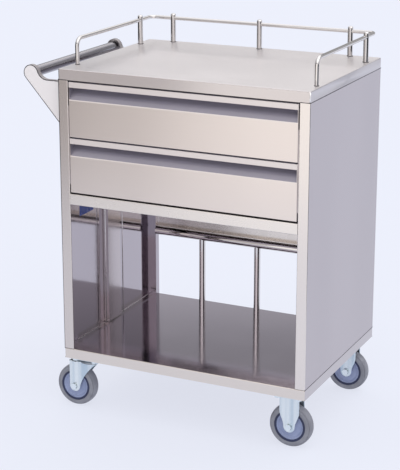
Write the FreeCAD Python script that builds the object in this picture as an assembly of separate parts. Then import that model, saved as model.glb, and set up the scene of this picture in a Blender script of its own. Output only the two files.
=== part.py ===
"""Medication cart: stainless cabinet with two drawers, an open bay, a railed top and four casters.

Every shape is drawn in cabinet coordinates, in millimetres: X runs from the cabinet's left side
to its right, Y from the front to the back, and Z up from the floor. save() then moves a shape
into the part's own frame, whose origin is the middle of the whole cart at floor level.
"""
import math
import os

import FreeCAD
import Part

V = FreeCAD.Vector

# ---- driving dimensions: cabinet ----
WIDTH = 600.0
DEPTH = 440.0
WORK_HEIGHT = 810.0
EDGE = 24.0                  # folded edge of the top tray and of the base shelf
SHEET = 1.2                  # stainless sheet
BEND_R = 1.8                 # outside radius of a fold
CORNER_R = 3.0               # upright corners of the tray and of the shelf
BASE_BOTTOM = 128.0          # mounting height of the casters
POST_WIDTH = 24.0            # front flange of a side panel
POST_DEPTH = 20.0
REAR_POST_WIDTH = 22.0
REAR_POST_DEPTH = 18.0
PANEL_TAB = 18.0             # flanges at a side panel's top and bottom
RAIL_HEIGHT = 25.0           # front rail under the drawers
RAIL_DEPTH = 20.0
REAR_PANEL_BOTTOM = 337.0
RETURN = 15.0                # bent edge of the rear panel and of the bay ceiling

BASE_TOP = BASE_BOTTOM + EDGE
TRAY_BOTTOM = WORK_HEIGHT - EDGE
MIDDLE = WIDTH / 2

# ---- stiffeners inside the side panels ----
HAT_CROWN = 60.0
HAT_DEPTH = 12.0
HAT_FOOT = 13.0
HAT_Y = 221.0
HAT_END_GAP = 2.0

# ---- rear tube and guard bars ----
TUBE_R = 11.0
TUBE_WALL = 1.5
TUBE_Y = DEPTH - 12.0
TUBE_Z = 325.0
BAR_R = 8.0
BAR_COUNT = 3
BAR_PITCH = WIDTH / (BAR_COUNT + 1)

# ---- guard rail on the top tray ----
ROD_R = 4.5
ROD_INSET = 12.6
ROD_HEIGHT = 58.0
ROD_FRONT_Y = 65.0
ROD_FRONT_BEND = 17.0
ROD_REAR_BEND = 14.0
STANCHION_R = 6.2
STANCHION_HEIGHT = 69.5
STANCHION_DOME = 4.0
STUD_R = 3.0
STUD_LENGTH = 12.0
STUD_GAP = 0.2
NUT_HEIGHT = 5.0
NUT_ACROSS = 10.0
REAR_STANCHION_INSET = 72.0
SIDE_STANCHION_BACK = 59.0   # from the rear rod to a side stanchion

# ---- push handle on the left side ----
BRACKET_INSET = 21.0
BRACKET_SHEET = 1.5
BRACKET_RIM = 12.0
EYE_X = -83.5
EYE_Z = WORK_HEIGHT - 20.0
EYE_R = 18.5
NECK_R = 25.0
BRACKET_TOP = WORK_HEIGHT - 32.5
BRACKET_BOTTOM = WORK_HEIGHT - 142.0
GRIP_R = 12.5
SCREW_R = 2.5
SCREW_HEAD_R = 4.5
SCREW_HEAD = 2.6
SCREW_HEIGHTS = (BRACKET_BOTTOM + 22.0, BRACKET_TOP - 16.0)

# ---- drawers ----
FRONT_SIDE_GAP = 2.0
FRONT_BEND_R = 1.0
FRONT_HEIGHT = 124.5
FRONT_GAP = 3.5
FRONT_TOP_GAP = 4.0
FRONT_DEPTH = 27.0
FACE_HEIGHT = 83.0
LIP_HEIGHT = 12.0
LIP_HEM = 5.0
SLOPE_TOP = 114.0
BOX_SHEET = 1.0
BOX_RAISE = 6.5
BOX_HEIGHT = 88.0
BOX_REAR = 400.0
UPPER_Z = TRAY_BOTTOM - FRONT_TOP_GAP - FRONT_HEIGHT
LOWER_Z = UPPER_Z - FRONT_GAP - FRONT_HEIGHT
RAIL_TOP = LOWER_Z - FRONT_TOP_GAP
RAIL_BOTTOM = RAIL_TOP - RAIL_HEIGHT

# ---- drawer slides ----
SLIDE_LENGTH = 400.0
SLIDE_Y = 28.0
SLIDE_SHEET = 1.2
SLIDE_RAISE = 45.0           # slide centre above the drawer front's lower edge
SLIDE_THICKNESS = 12.7
OUTER_HALF = 22.5
OUTER_LIP = 11.0
MIDDLE_HALF = 18.2
MIDDLE_SET = 3.0             # middle member's web in from the outer member's back
MIDDLE_LIP = 10.7
INNER_HALF = 13.8
INNER_SET = 5.5
CAGE_THICK = 2.4
CAGE_GAP = 0.35
CAGE_LENGTH = 180.0
RUNNER_SHEET = 1.5
RUNNER_MARGIN = 26.0

# ---- casters ----
WHEEL_R = 50.0
TYRE_WIDTH = 27.0
TYRE_CORNER = 6.0
HUB_R = 33.5
HUB_WIDTH = 24.0
HUB_BOSS_R = 12.0
HUB_BOSS_WIDTH = 30.0
HUB_DISH_R = 27.0
HUB_DISH = 4.0
SLEEVE_R = 6.0
RUN_GAP = 0.05
AXLE_R = 4.0
LEG_GAP = 32.0
LEG_SHEET = 2.5
LEG_END_R = 13.0
PLATE_SIZE = 72.0
PLATE_SHEET = 2.5
PLATE_X = 45.0
PLATE_Y = 40.0
PLATE_CORNER = 8.0
BOLT_SPACING = 50.0
BOLT_R = 4.0
BOLT_HEAD = 5.3
BOLT_ACROSS = 13.0
TRAIL = 34.0
RACE_R = 24.0
RACE_TOP_GAP = 0.3
RACE_LEVEL = BASE_BOTTOM - 10.0
CROWN_LEVEL = BASE_BOTTOM - 15.0
CROWN_FRONT = 22.0
CROWN_REAR = 47.0
KINGPIN_R = 5.0
KINGPIN_HEAD_R = 9.0
KINGPIN_HEAD = 2.5
RIGID_HALF_TOP = 30.0
CHANNEL_SHEET = 1.5
CHANNEL_X = (8.5, 86.0)
HEM = 8.0                    # inward lips of the top tray and of the base shelf

# ---- blank label on the inside of the left panel ----
LABEL_Y = (79.5, 142.5)
LABEL_Z = (WORK_HEIGHT - 360.5, WORK_HEIGHT - 335.5)
LABEL_THICK = 0.4

HANDLE_REACH = EYE_R - EYE_X
CASTER_REACH = WIDTH - PLATE_X + WHEEL_R
ORIGIN = V((CASTER_REACH - HANDLE_REACH) / 2, DEPTH / 2, 0)
NEAR = 0.1                   # clearance between sheets that only meet at a seam


# ---- helpers ----
def save(name, shape):
    """Move a shape into the part's frame and write it to its own file."""
    moved = shape.copy()
    moved.translate(ORIGIN * -1)
    moved.exportStep("parts/" + name + ".step")


def block(low, high):
    """Axis-aligned box between two corners."""
    size = [b - a for a, b in zip(low, high)]
    return Part.makeBox(*size, V(*low))


def rod(radius, start, end):
    """Round bar from one point to another."""
    axis = V(*end) - V(*start)
    return Part.makeCylinder(radius, axis.Length, V(*start), axis)


def merge(shapes):
    """Union of touching shapes as one clean solid."""
    return shapes[0].multiFuse(shapes[1:]).removeSplitter()


def prism(points, direction):
    """Straight-sided solid: a closed polygon pushed along a direction."""
    corners = [V(*p) for p in points]
    wire = Part.makePolygon(corners + corners[:1])
    return Part.Face(wire).extrude(V(*direction))


def mirror_x(shape):
    """The same piece on the cabinet's other side."""
    return shape.mirror(V(MIDDLE, 0, 0), V(1, 0, 0))


def mirror_y(shape):
    """The same piece at the cabinet's other end."""
    return shape.mirror(V(0, DEPTH / 2, 0), V(0, 1, 0))


def hexagon(across, height, base, axis):
    """Hexagonal nut or bolt head, standing on base along axis."""
    radius = across / math.sqrt(3)
    corners = []
    for k in range(6):
        angle = k * math.pi / 3
        corners.append((radius * math.cos(angle), radius * math.sin(angle), 0))
    body = prism(corners, (0, 0, height))
    body.Placement = FreeCAD.Placement(V(*base), FreeCAD.Rotation(V(0, 0, 1), V(*axis)))
    return body


def lies_on(edge, planes):
    """True if a straight edge lies on each of the given (axis, value) planes."""
    if len(edge.Vertexes) < 2:
        return False
    ends = [vertex.Point for vertex in edge.Vertexes]
    return all(abs(point[axis] - value) < 1e-4 for axis, value in planes for point in ends)


def soften(shape, radius, folds):
    """Fillet the edges where the given pairs of planes meet: each fold is a list of planes."""
    chosen = [edge for edge in shape.Edges if any(lies_on(edge, planes) for planes in folds)]
    return shape.makeFillet(radius, chosen)


def round_corners(shape, radius):
    """Fillet the upright corner edges of a plate or box."""
    box = shape.BoundBox
    xs = (box.XMin, box.XMax)
    ys = (box.YMin, box.YMax)
    return soften(shape, radius, [[(0, x), (1, y)] for x in xs for y in ys])


def folded_slab(low, high):
    """Box with round upright corners and a round fold along its top edges."""
    slab = round_corners(block(low, high), CORNER_R)
    rim = [edge for edge in slab.Edges if edge.BoundBox.ZMin > high[2] - 1e-4]
    return slab.makeFillet(BEND_R, rim)


# ---- sheet-metal cabinet ----
def stanchion_places():
    """Feet of the five stanchions: three along the back, one on each side."""
    rear_y = DEPTH - ROD_INSET
    side_y = rear_y - SIDE_STANCHION_BACK
    places = [(x, rear_y) for x in (REAR_STANCHION_INSET, MIDDLE, WIDTH - REAR_STANCHION_INSET)]
    places += [(ROD_INSET, side_y), (WIDTH - ROD_INSET, side_y)]
    return places


def top_tray():
    """Flat top with edges folded down and hemmed inwards, drilled for the stanchion studs."""
    outer = folded_slab((0, 0, TRAY_BOTTOM), (WIDTH, DEPTH, WORK_HEIGHT))
    hollow = block((SHEET, SHEET, TRAY_BOTTOM + SHEET),
                   (WIDTH - SHEET, DEPTH - SHEET, WORK_HEIGHT - SHEET))
    mouth = block((HEM, HEM, TRAY_BOTTOM - 1),
                  (WIDTH - HEM, DEPTH - HEM, TRAY_BOTTOM + 2 * SHEET))
    tray = outer.cut(hollow).cut(mouth)
    for x, y in stanchion_places():
        tray = tray.cut(rod(STUD_R + STUD_GAP, (x, y, WORK_HEIGHT - 2 * SHEET), (x, y, WORK_HEIGHT + 1)))
    return tray


def side_panel():
    """Left side: one sheet folded into front and rear posts, with tabs at top and bottom."""
    top = TRAY_BOTTOM
    bottom = BASE_TOP
    rear = DEPTH
    tab_y = (POST_DEPTH + 10, rear - REAR_POST_DEPTH - 10)
    pieces = [
        block((0, 0, bottom), (SHEET, rear, top)),
        block((0, 0, bottom), (POST_WIDTH, SHEET, top)),
        block((POST_WIDTH - SHEET, 0, bottom), (POST_WIDTH, POST_DEPTH, top)),
        block((0, rear - SHEET, bottom), (REAR_POST_WIDTH, rear, top)),
        block((REAR_POST_WIDTH - SHEET, rear - REAR_POST_DEPTH, bottom), (REAR_POST_WIDTH, rear, top)),
        block((0, tab_y[0], bottom), (PANEL_TAB, tab_y[1], bottom + SHEET)),
        block((0, tab_y[0], top - SHEET), (PANEL_TAB, tab_y[1], top)),
    ]
    folds = [[(0, 0), (1, 0)], [(0, POST_WIDTH), (1, 0)], [(0, 0), (1, rear)],
             [(0, REAR_POST_WIDTH), (1, rear)]]
    panel = soften(merge(pieces), BEND_R, folds)
    for z in SCREW_HEIGHTS:
        for y in screw_rows():
            panel = panel.cut(rod(SCREW_R + STUD_GAP, (-1, y, z), (SHEET + 1, y, z)))
    return panel


def right_side_panel():
    """Right side: the same folded sheet, with no handle holes."""
    panel = side_panel()
    for z in SCREW_HEIGHTS:
        for y in screw_rows():
            panel = panel.fuse(rod(SCREW_R + STUD_GAP, (0, y, z), (SHEET, y, z)))
    return mirror_x(panel.removeSplitter())


def stiffener():
    """Upright hat section spot-welded inside a side panel."""
    half = HAT_CROWN / 2
    x0 = SHEET
    x1 = SHEET + HAT_DEPTH
    z0 = BASE_TOP + HAT_END_GAP
    outline = [
        (x0, HAT_Y - half - HAT_FOOT, z0), (x0 + SHEET, HAT_Y - half - HAT_FOOT, z0),
        (x0 + SHEET, HAT_Y - half, z0), (x1, HAT_Y - half, z0),
        (x1, HAT_Y + half, z0), (x0 + SHEET, HAT_Y + half, z0),
        (x0 + SHEET, HAT_Y + half + HAT_FOOT, z0), (x0, HAT_Y + half + HAT_FOOT, z0),
        (x0, HAT_Y + half - SHEET, z0), (x1 - SHEET, HAT_Y + half - SHEET, z0),
        (x1 - SHEET, HAT_Y - half + SHEET, z0), (x0, HAT_Y - half + SHEET, z0),
    ]
    return prism(outline, (0, 0, TRAY_BOTTOM - HAT_END_GAP - z0))


def rear_panel():
    """Upper back sheet between the rear posts, with its top and bottom edges bent forward."""
    x0 = REAR_POST_WIDTH + NEAR
    x1 = WIDTH - x0
    z0 = REAR_PANEL_BOTTOM
    z1 = TRAY_BOTTOM - NEAR
    return merge([
        block((x0, DEPTH - SHEET, z0), (x1, DEPTH, z1)),
        block((x0, DEPTH - RETURN, z0), (x1, DEPTH, z0 + SHEET)),
        block((x0, DEPTH - RETURN, z1 - SHEET), (x1, DEPTH, z1)),
    ])


def rear_cross_tube():
    """Round tube across the back, under the rear panel."""
    start = (REAR_POST_WIDTH, TUBE_Y, TUBE_Z)
    end = (WIDTH - REAR_POST_WIDTH, TUBE_Y, TUBE_Z)
    return rod(TUBE_R, start, end).cut(rod(TUBE_R - TUBE_WALL, start, end))


def rear_guard_bars():
    """Upright bars from the shelf to the cross tube, their tops saddled to the tube."""
    tube = rod(TUBE_R, (0, TUBE_Y, TUBE_Z), (WIDTH, TUBE_Y, TUBE_Z))
    bars = []
    for k in range(BAR_COUNT):
        x = BAR_PITCH * (k + 1)
        bars.append(rod(BAR_R, (x, TUBE_Y, BASE_TOP), (x, TUBE_Y, TUBE_Z)).cut(tube))
    return Part.makeCompound(bars)


def mid_front_rail():
    """Channel between the front posts, under the lower drawer."""
    x0 = POST_WIDTH
    x1 = WIDTH - POST_WIDTH
    outer = block((x0, 0, RAIL_BOTTOM), (x1, RAIL_DEPTH, RAIL_TOP))
    hollow = block((x0 - 1, SHEET, RAIL_BOTTOM + SHEET), (x1 + 1, RAIL_DEPTH + 1, RAIL_TOP - SHEET))
    folds = [[(1, 0), (2, RAIL_BOTTOM)], [(1, 0), (2, RAIL_TOP)]]
    return soften(outer.cut(hollow), BEND_R, folds)


def bay_ceiling():
    """Dust panel over the open bay, lying on the front rail's lower flange."""
    x0 = POST_WIDTH + NEAR
    x1 = WIDTH - x0
    z0 = RAIL_BOTTOM + SHEET
    y0 = SHEET + NEAR
    y1 = DEPTH - SHEET - NEAR
    y_side = RAIL_DEPTH + NEAR
    return merge([
        block((x0, y0, z0), (x1, y1, z0 + SHEET)),
        block((x0, y_side, z0), (x0 + SHEET, y1, z0 + RETURN)),
        block((x1 - SHEET, y_side, z0), (x1, y1, z0 + RETURN)),
    ])


def base_shelf():
    """Lower shelf: folded edges all round, with bottom lips that leave room for the channels."""
    x_lip = CHANNEL_X[1] + 1
    outer = folded_slab((0, 0, BASE_BOTTOM), (WIDTH, DEPTH, BASE_TOP))
    hollow = block((SHEET, SHEET, BASE_BOTTOM - 1), (WIDTH - SHEET, DEPTH - SHEET, BASE_TOP - SHEET))
    lips = [
        block((0, 0, BASE_BOTTOM), (HEM, DEPTH, BASE_BOTTOM + SHEET)),
        block((WIDTH - HEM, 0, BASE_BOTTOM), (WIDTH, DEPTH, BASE_BOTTOM + SHEET)),
        block((x_lip, 0, BASE_BOTTOM), (WIDTH - x_lip, HEM, BASE_BOTTOM + SHEET)),
        block((x_lip, DEPTH - HEM, BASE_BOTTOM), (WIDTH - x_lip, DEPTH, BASE_BOTTOM + SHEET)),
    ]
    return merge([outer.cut(hollow)] + lips)


def caster_channel():
    """Left channel under the shelf that the caster plates bolt to."""
    x0, x1 = CHANNEL_X
    y0 = SHEET + NEAR
    y1 = DEPTH - y0
    z1 = BASE_TOP - SHEET
    outer = block((x0, y0, BASE_BOTTOM), (x1, y1, z1))
    hollow = block((x0 + CHANNEL_SHEET, y0 - 1, BASE_BOTTOM + CHANNEL_SHEET),
                   (x1 - CHANNEL_SHEET, y1 + 1, z1 + 1))
    channel = outer.cut(hollow)
    for y in (PLATE_Y, DEPTH - PLATE_Y):
        for hole in bolt_holes(PLATE_X, y):
            channel = channel.cut(hole)
    return channel


def label_plate():
    """Blank rectangular label inside the left panel."""
    return block((SHEET, LABEL_Y[0], LABEL_Z[0]), (SHEET + LABEL_THICK, LABEL_Y[1], LABEL_Z[1]))


# ---- guard rail ----
def rail_path():
    """Centre line of the rod: up at the front, round the tray's back and down again."""
    z0 = WORK_HEIGHT
    z1 = WORK_HEIGHT + ROD_HEIGHT
    x0 = ROD_INSET
    x1 = WIDTH - ROD_INSET
    y0 = ROD_FRONT_Y
    y1 = DEPTH - ROD_INSET
    corners = [V(x0, y0, z0), V(x0, y0, z1), V(x0, y1, z1), V(x1, y1, z1), V(x1, y0, z1), V(x1, y0, z0)]
    bends = [ROD_FRONT_BEND, ROD_REAR_BEND, ROD_REAR_BEND, ROD_FRONT_BEND]
    edges = []
    start = corners[0]
    for k, bend in enumerate(bends):
        corner = corners[k + 1]
        before = (corners[k] - corner).normalize()
        after = (corners[k + 2] - corner).normalize()
        enter = corner + before * bend
        leave = corner + after * bend
        centre = corner + (before + after) * bend
        halfway = centre + (corner - centre).normalize() * bend
        edges.append(Part.LineSegment(start, enter).toShape())
        edges.append(Part.Arc(enter, halfway, leave).toShape())
        start = leave
    edges.append(Part.LineSegment(start, corners[-1]).toShape())
    return Part.Wire(edges)


def rail_solid(radius):
    """The rod of the guard rail at a given radius."""
    foot = V(ROD_INSET, ROD_FRONT_Y, WORK_HEIGHT)
    profile = Part.Wire([Part.makeCircle(radius, foot, V(0, 0, 1))])
    return rail_path().makePipeShell([profile], True, True)


def stanchion(x, y):
    """Round post with a domed top and a stud that goes through the tray."""
    top = WORK_HEIGHT + STANCHION_HEIGHT
    shaft = rod(STANCHION_R, (x, y, WORK_HEIGHT), (x, y, top))
    shaft = shaft.makeFillet(STANCHION_DOME, [shaft.Edges[0]])
    stud = rod(STUD_R, (x, y, WORK_HEIGHT - STUD_LENGTH), (x, y, WORK_HEIGHT))
    return shaft.fuse(stud)


def guard_rail_posts():
    """The five stanchions, drilled for the rod."""
    drill = rail_solid(ROD_R + RUN_GAP)
    return Part.makeCompound([stanchion(x, y).cut(drill) for x, y in stanchion_places()])


def guard_rail_nuts():
    """A nut on each stanchion's stud, under the tray."""
    nuts = []
    for x, y in stanchion_places():
        base = (x, y, WORK_HEIGHT - SHEET - NUT_HEIGHT)
        nut = hexagon(NUT_ACROSS, NUT_HEIGHT, base, (0, 0, 1))
        nuts.append(nut.cut(rod(STUD_R, base, (x, y, WORK_HEIGHT))))
    return Part.makeCompound(nuts)


# ---- push handle ----
def bracket_outline():
    """Edge of a bracket in its own plane: round eye, concave neck and a slanting underside."""
    eye = V(EYE_X, 0, EYE_Z)
    rise = BRACKET_TOP + NECK_R - EYE_Z
    neck = V(EYE_X + math.sqrt((EYE_R + NECK_R) ** 2 - rise ** 2), 0, BRACKET_TOP + NECK_R)
    neck_start = V(neck.x, 0, BRACKET_TOP)
    neck_end = eye + (neck - eye).normalize() * EYE_R
    neck_middle = neck + ((neck_start - neck) + (neck_end - neck)).normalize() * NECK_R
    foot = V(0, 0, BRACKET_BOTTOM)
    reach = foot - eye
    angle = math.atan2(reach.z, reach.x) - math.acos(EYE_R / reach.Length)
    tangent = eye + V(math.cos(angle), 0, math.sin(angle)) * EYE_R
    far_side = eye + V(-math.cos(math.radians(10)), 0, math.sin(math.radians(10))) * EYE_R
    corner = V(0, 0, BRACKET_TOP)
    return Part.Wire([
        Part.LineSegment(corner, neck_start).toShape(),
        Part.Arc(neck_start, neck_middle, neck_end).toShape(),
        Part.Arc(neck_end, far_side, tangent).toShape(),
        Part.LineSegment(tangent, foot).toShape(),
        Part.LineSegment(foot, corner).toShape(),
    ])


def screw_rows():
    """Where the handle screws stand along the side: one row in each bracket's rim."""
    offset = BRACKET_INSET + 7.5
    return (offset, DEPTH - offset)


def handle_bracket():
    """Front bracket: a sheet with its rim turned inwards all round, drilled at the side."""
    face = Part.Face(bracket_outline())
    face.translate(V(0, BRACKET_INSET, 0))
    inset = face.makeOffset2D(-BRACKET_SHEET)
    hollow = inset.extrude(V(0, BRACKET_RIM, 0))
    hollow.translate(V(0, BRACKET_SHEET, 0))
    bracket = face.extrude(V(0, BRACKET_RIM, 0)).cut(hollow)
    for z in SCREW_HEIGHTS:
        y = screw_rows()[0]
        bracket = bracket.cut(rod(SCREW_R + STUD_GAP, (-3 * BRACKET_SHEET, y, z), (1, y, z)))
    return bracket


def handle_tube():
    """Grip tube between the two brackets."""
    y0 = BRACKET_INSET + BRACKET_SHEET
    start = (EYE_X, y0, EYE_Z)
    end = (EYE_X, DEPTH - y0, EYE_Z)
    return rod(GRIP_R, start, end).cut(rod(GRIP_R - TUBE_WALL, start, end))


def handle_screws():
    """Pan-head screws with nuts that hold the brackets to the left panel."""
    pieces = []
    for z in SCREW_HEIGHTS:
        for y in screw_rows():
            under_head = -BRACKET_SHEET
            head = rod(SCREW_HEAD_R, (under_head - SCREW_HEAD, y, z), (under_head, y, z))
            shank = rod(SCREW_R, (under_head, y, z), (SHEET + NUT_HEIGHT, y, z))
            nut = hexagon(NUT_ACROSS - 2, NUT_HEIGHT - 1, (SHEET, y, z), (1, 0, 0))
            pieces += [head.fuse(shank), nut.cut(shank)]
    return Part.makeCompound(pieces)


# ---- drawers ----
def pull_lip(z0):
    """Strip along the top of a drawer front: hemmed, and folded back over the finger pull."""
    x0 = POST_WIDTH + FRONT_SIDE_GAP
    x1 = WIDTH - x0
    lip_z = z0 + FRONT_HEIGHT - LIP_HEIGHT
    top = z0 + FRONT_HEIGHT
    lip = merge([
        block((x0, 0, top - SHEET), (x1, FRONT_DEPTH, top)),
        block((x0, 0, lip_z), (x1, SHEET, top)),
        block((x0, 0, lip_z), (x1, SHEET + LIP_HEM, lip_z + SHEET)),
    ])
    return soften(lip, FRONT_BEND_R, [[(1, 0), (2, top)], [(1, 0), (0, x0)], [(1, 0), (0, x1)]])


def drawer_front(z0):
    """Folded front with a slanting finger pull above its face and closed ends."""
    x0 = POST_WIDTH + FRONT_SIDE_GAP
    x1 = WIDTH - x0
    back = FRONT_DEPTH
    lip_z = z0 + FRONT_HEIGHT - LIP_HEIGHT
    top = z0 + FRONT_HEIGHT
    slope = [(x0, 0, z0 + FACE_HEIGHT), (x0, back - SHEET, z0 + SLOPE_TOP),
             (x0, back, z0 + SLOPE_TOP), (x0, SHEET, z0 + FACE_HEIGHT - NEAR),
             (x0, 0, z0 + FACE_HEIGHT - NEAR)]
    front = merge([
        block((x0, 0, z0), (x1, SHEET, z0 + FACE_HEIGHT)),
        block((x0, 0, z0), (x1, back, z0 + SHEET)),
        prism(slope, (x1 - x0, 0, 0)),
        block((x0, back - SHEET, z0 + SLOPE_TOP), (x1, back, top)),
        block((x0, 0, z0), (x0 + SHEET, back, top)),
        block((x1 - SHEET, 0, z0), (x1, back, top)),
    ])
    front = front.cut(block((x0, 0, top - SHEET), (x1, back, top)))
    front = front.cut(block((x0, 0, lip_z), (x1, SHEET, top)))
    front = front.cut(block((x0, 0, lip_z), (x1, SHEET + LIP_HEM, lip_z + SHEET)))
    folds = [[(1, 0), (2, z0)], [(1, 0), (0, x0)], [(1, 0), (0, x1)]]
    return soften(front, FRONT_BEND_R, folds)


def drawer_box(z0):
    """Open tray behind the front, as wide as the slides allow."""
    side = POST_WIDTH + RUNNER_SHEET + SLIDE_THICKNESS
    low = V(side, FRONT_DEPTH, z0 + BOX_RAISE)
    high = V(WIDTH - side, BOX_REAR, z0 + BOX_RAISE + BOX_HEIGHT)
    hollow_low = low + V(BOX_SHEET, BOX_SHEET, BOX_SHEET)
    hollow_high = high - V(BOX_SHEET, BOX_SHEET, -BOX_SHEET)
    return block(low, high).cut(block(hollow_low, hollow_high))


# ---- drawer slides ----
def channel_section(x0, x1, half, z, web_at_low_x):
    """Slide member of C section: an upright web with a lip at its top and bottom."""
    y0 = SLIDE_Y
    y1 = SLIDE_Y + SLIDE_LENGTH
    hollow_x0 = x0 + SLIDE_SHEET if web_at_low_x else x0 - 1
    hollow_x1 = x1 + 1 if web_at_low_x else x1 - SLIDE_SHEET
    outer = block((x0, y0, z - half), (x1, y1, z + half))
    hollow = block((hollow_x0, y0 - 1, z - half + SLIDE_SHEET), (hollow_x1, y1 + 1, z + half - SLIDE_SHEET))
    return outer.cut(hollow)


def slide_outer(z):
    """Cabinet member of a left slide, screwed to the runner plate."""
    x0 = POST_WIDTH + RUNNER_SHEET
    return channel_section(x0, x0 + OUTER_LIP, OUTER_HALF, z, True)


def slide_middle(z):
    """Middle member of a left slide, with the four ball cages that it carries."""
    x0 = POST_WIDTH + RUNNER_SHEET + MIDDLE_SET
    x1 = POST_WIDTH + RUNNER_SHEET + MIDDLE_LIP
    member = channel_section(x0, x1, MIDDLE_HALF, z, True)
    y0 = SLIDE_Y + (SLIDE_LENGTH - CAGE_LENGTH) / 2
    y1 = y0 + CAGE_LENGTH
    outer_low = MIDDLE_HALF
    inner_high = MIDDLE_HALF - SLIDE_SHEET
    levels = [outer_low, inner_high - CAGE_THICK, -outer_low - CAGE_THICK, -inner_high]
    cages = [block((x0 + 2 * SLIDE_SHEET, y0, z + level), (x1, y1, z + level + CAGE_THICK)) for level in levels]
    return merge([member] + cages)


def slide_inner(z):
    """Drawer member of a left slide, screwed to the drawer box."""
    x0 = POST_WIDTH + RUNNER_SHEET + INNER_SET
    x1 = POST_WIDTH + RUNNER_SHEET + SLIDE_THICKNESS
    member = channel_section(x0, x1, INNER_HALF, z, False)
    return member.common(block((x0, FRONT_DEPTH, 0), (x1, BOX_REAR, WORK_HEIGHT)))


def runner_plate():
    """Left plate between the front and rear posts that carries both slides of its side."""
    z0 = LOWER_Z + SLIDE_RAISE - RUNNER_MARGIN
    z1 = UPPER_Z + SLIDE_RAISE + RUNNER_MARGIN
    x0 = POST_WIDTH
    y1 = DEPTH - SHEET - NEAR
    pad = block((REAR_POST_WIDTH, DEPTH - REAR_POST_DEPTH + 2, z0), (x0, y1, z1))
    return merge([block((x0, SHEET + NEAR, z0), (x0 + RUNNER_SHEET, y1, z1)), pad])


# ---- casters ----
def bolt_places(x, y):
    """Centres of a caster plate's four bolts."""
    half = BOLT_SPACING / 2
    return [(x + sx * half, y + sy * half) for sx in (-1, 1) for sy in (-1, 1)]


def bolt_holes(x, y):
    """Drills for a caster plate's bolts."""
    z0 = BASE_BOTTOM - 2 * PLATE_SHEET
    z1 = BASE_BOTTOM + 2 * PLATE_SHEET
    return [rod(BOLT_R + STUD_GAP, (bx, by, z0), (bx, by, z1)) for bx, by in bolt_places(x, y)]


def caster_plate(x, y):
    """Square mounting plate with rounded corners and four bolt holes."""
    half = PLATE_SIZE / 2
    plate = block((x - half, y - half, BASE_BOTTOM - PLATE_SHEET), (x + half, y + half, BASE_BOTTOM))
    plate = round_corners(plate, PLATE_CORNER)
    for hole in bolt_holes(x, y):
        plate = plate.cut(hole)
    return plate


def swivel_plate(x, y):
    """Swivel caster's plate with the fixed race pressed down from it."""
    low = RACE_LEVEL + RACE_TOP_GAP
    race = rod(RACE_R - 3, (x, y, low), (x, y, BASE_BOTTOM - PLATE_SHEET))
    pin_hole = rod(KINGPIN_R, (x, y, low - 1), (x, y, BASE_BOTTOM + 1))
    return merge([caster_plate(x, y), race]).cut(pin_hole)


def kingpin(x, y):
    """Rivet that holds a swivel fork to its plate."""
    crown_low = CROWN_LEVEL - LEG_SHEET
    head_top = crown_low - RACE_TOP_GAP
    shank = rod(KINGPIN_R, (x, y, head_top), (x, y, BASE_BOTTOM))
    return shank.fuse(rod(KINGPIN_HEAD_R, (x, y, head_top - KINGPIN_HEAD), (x, y, head_top)))


def leg(outline, y_inner, outwards):
    """One fork leg: an XZ outline with a round end about the axle, given the sheet's thickness."""
    return prism([(x, y_inner, z) for x, z in outline], (0, outwards * LEG_SHEET, 0))


def fork_legs(outline, axle_x, y):
    """Both legs of a fork, rounded about the axle and drilled for its bolt."""
    legs = []
    for side in (-1, 1):
        y_inner = y + side * LEG_GAP / 2
        y_outer = y_inner + side * LEG_SHEET
        plate = leg(outline, y_inner, side)
        boss = rod(LEG_END_R, (axle_x, y_inner, WHEEL_R), (axle_x, y_outer, WHEEL_R))
        legs.append(plate.fuse(boss))
    drill = rod(AXLE_R + RUN_GAP, (axle_x, y - LEG_GAP, WHEEL_R), (axle_x, y + LEG_GAP, WHEEL_R))
    return [one.cut(drill) for one in legs]


def swivel_fork(x, y):
    """Trailing fork: flat crown with a race cup on top and two raked legs."""
    axle_x = x - TRAIL
    half = LEG_GAP / 2 + LEG_SHEET
    top = CROWN_LEVEL
    outline = [
        (x - CROWN_REAR, top), (x + CROWN_FRONT, top), (x + CROWN_FRONT - 2, top - 8),
        (axle_x + LEG_END_R, WHEEL_R + 3), (axle_x + LEG_END_R, WHEEL_R),
        (axle_x - LEG_END_R, WHEEL_R), (x - CROWN_REAR, WHEEL_R + 30),
    ]
    crown = block((x - CROWN_REAR, y - half, top - LEG_SHEET), (x + CROWN_FRONT, y + half, top))
    cup = rod(RACE_R, (x, y, top - LEG_SHEET), (x, y, RACE_LEVEL))
    body = merge([crown, cup] + fork_legs(outline, axle_x, y))
    clear = rod(KINGPIN_R + RUN_GAP, (x, y, 0), (x, y, BASE_BOTTOM))
    return body.cut(clear)


def rigid_fork(x, y):
    """Fixed fork: tapered legs straight down from the mounting plate."""
    top = BASE_BOTTOM - PLATE_SHEET
    outline = [
        (x - RIGID_HALF_TOP, top), (x + RIGID_HALF_TOP, top),
        (x + RIGID_HALF_TOP - 2, top - 14), (x + LEG_END_R, WHEEL_R + 4), (x + LEG_END_R, WHEEL_R),
        (x - LEG_END_R, WHEEL_R), (x - LEG_END_R, WHEEL_R + 4), (x - RIGID_HALF_TOP + 2, top - 14),
    ]
    return merge([caster_plate(x, y)] + fork_legs(outline, x, y))


def axle(x, y):
    """Axle bolt with its nut, and the sleeve that the hub turns on."""
    half = LEG_GAP / 2
    outer = half + LEG_SHEET
    head = hexagon(BOLT_ACROSS, BOLT_HEAD, (x, y - outer, WHEEL_R), (0, -1, 0))
    shank = rod(AXLE_R, (x, y - outer, WHEEL_R), (x, y + outer + BOLT_HEAD + 2, WHEEL_R))
    nut = hexagon(BOLT_ACROSS, BOLT_HEAD, (x, y + outer, WHEEL_R), (0, 1, 0)).cut(shank)
    sleeve = rod(SLEEVE_R, (x, y - half, WHEEL_R), (x, y + half, WHEEL_R)).cut(shank)
    return Part.makeCompound([head.fuse(shank), nut, sleeve])


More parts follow.
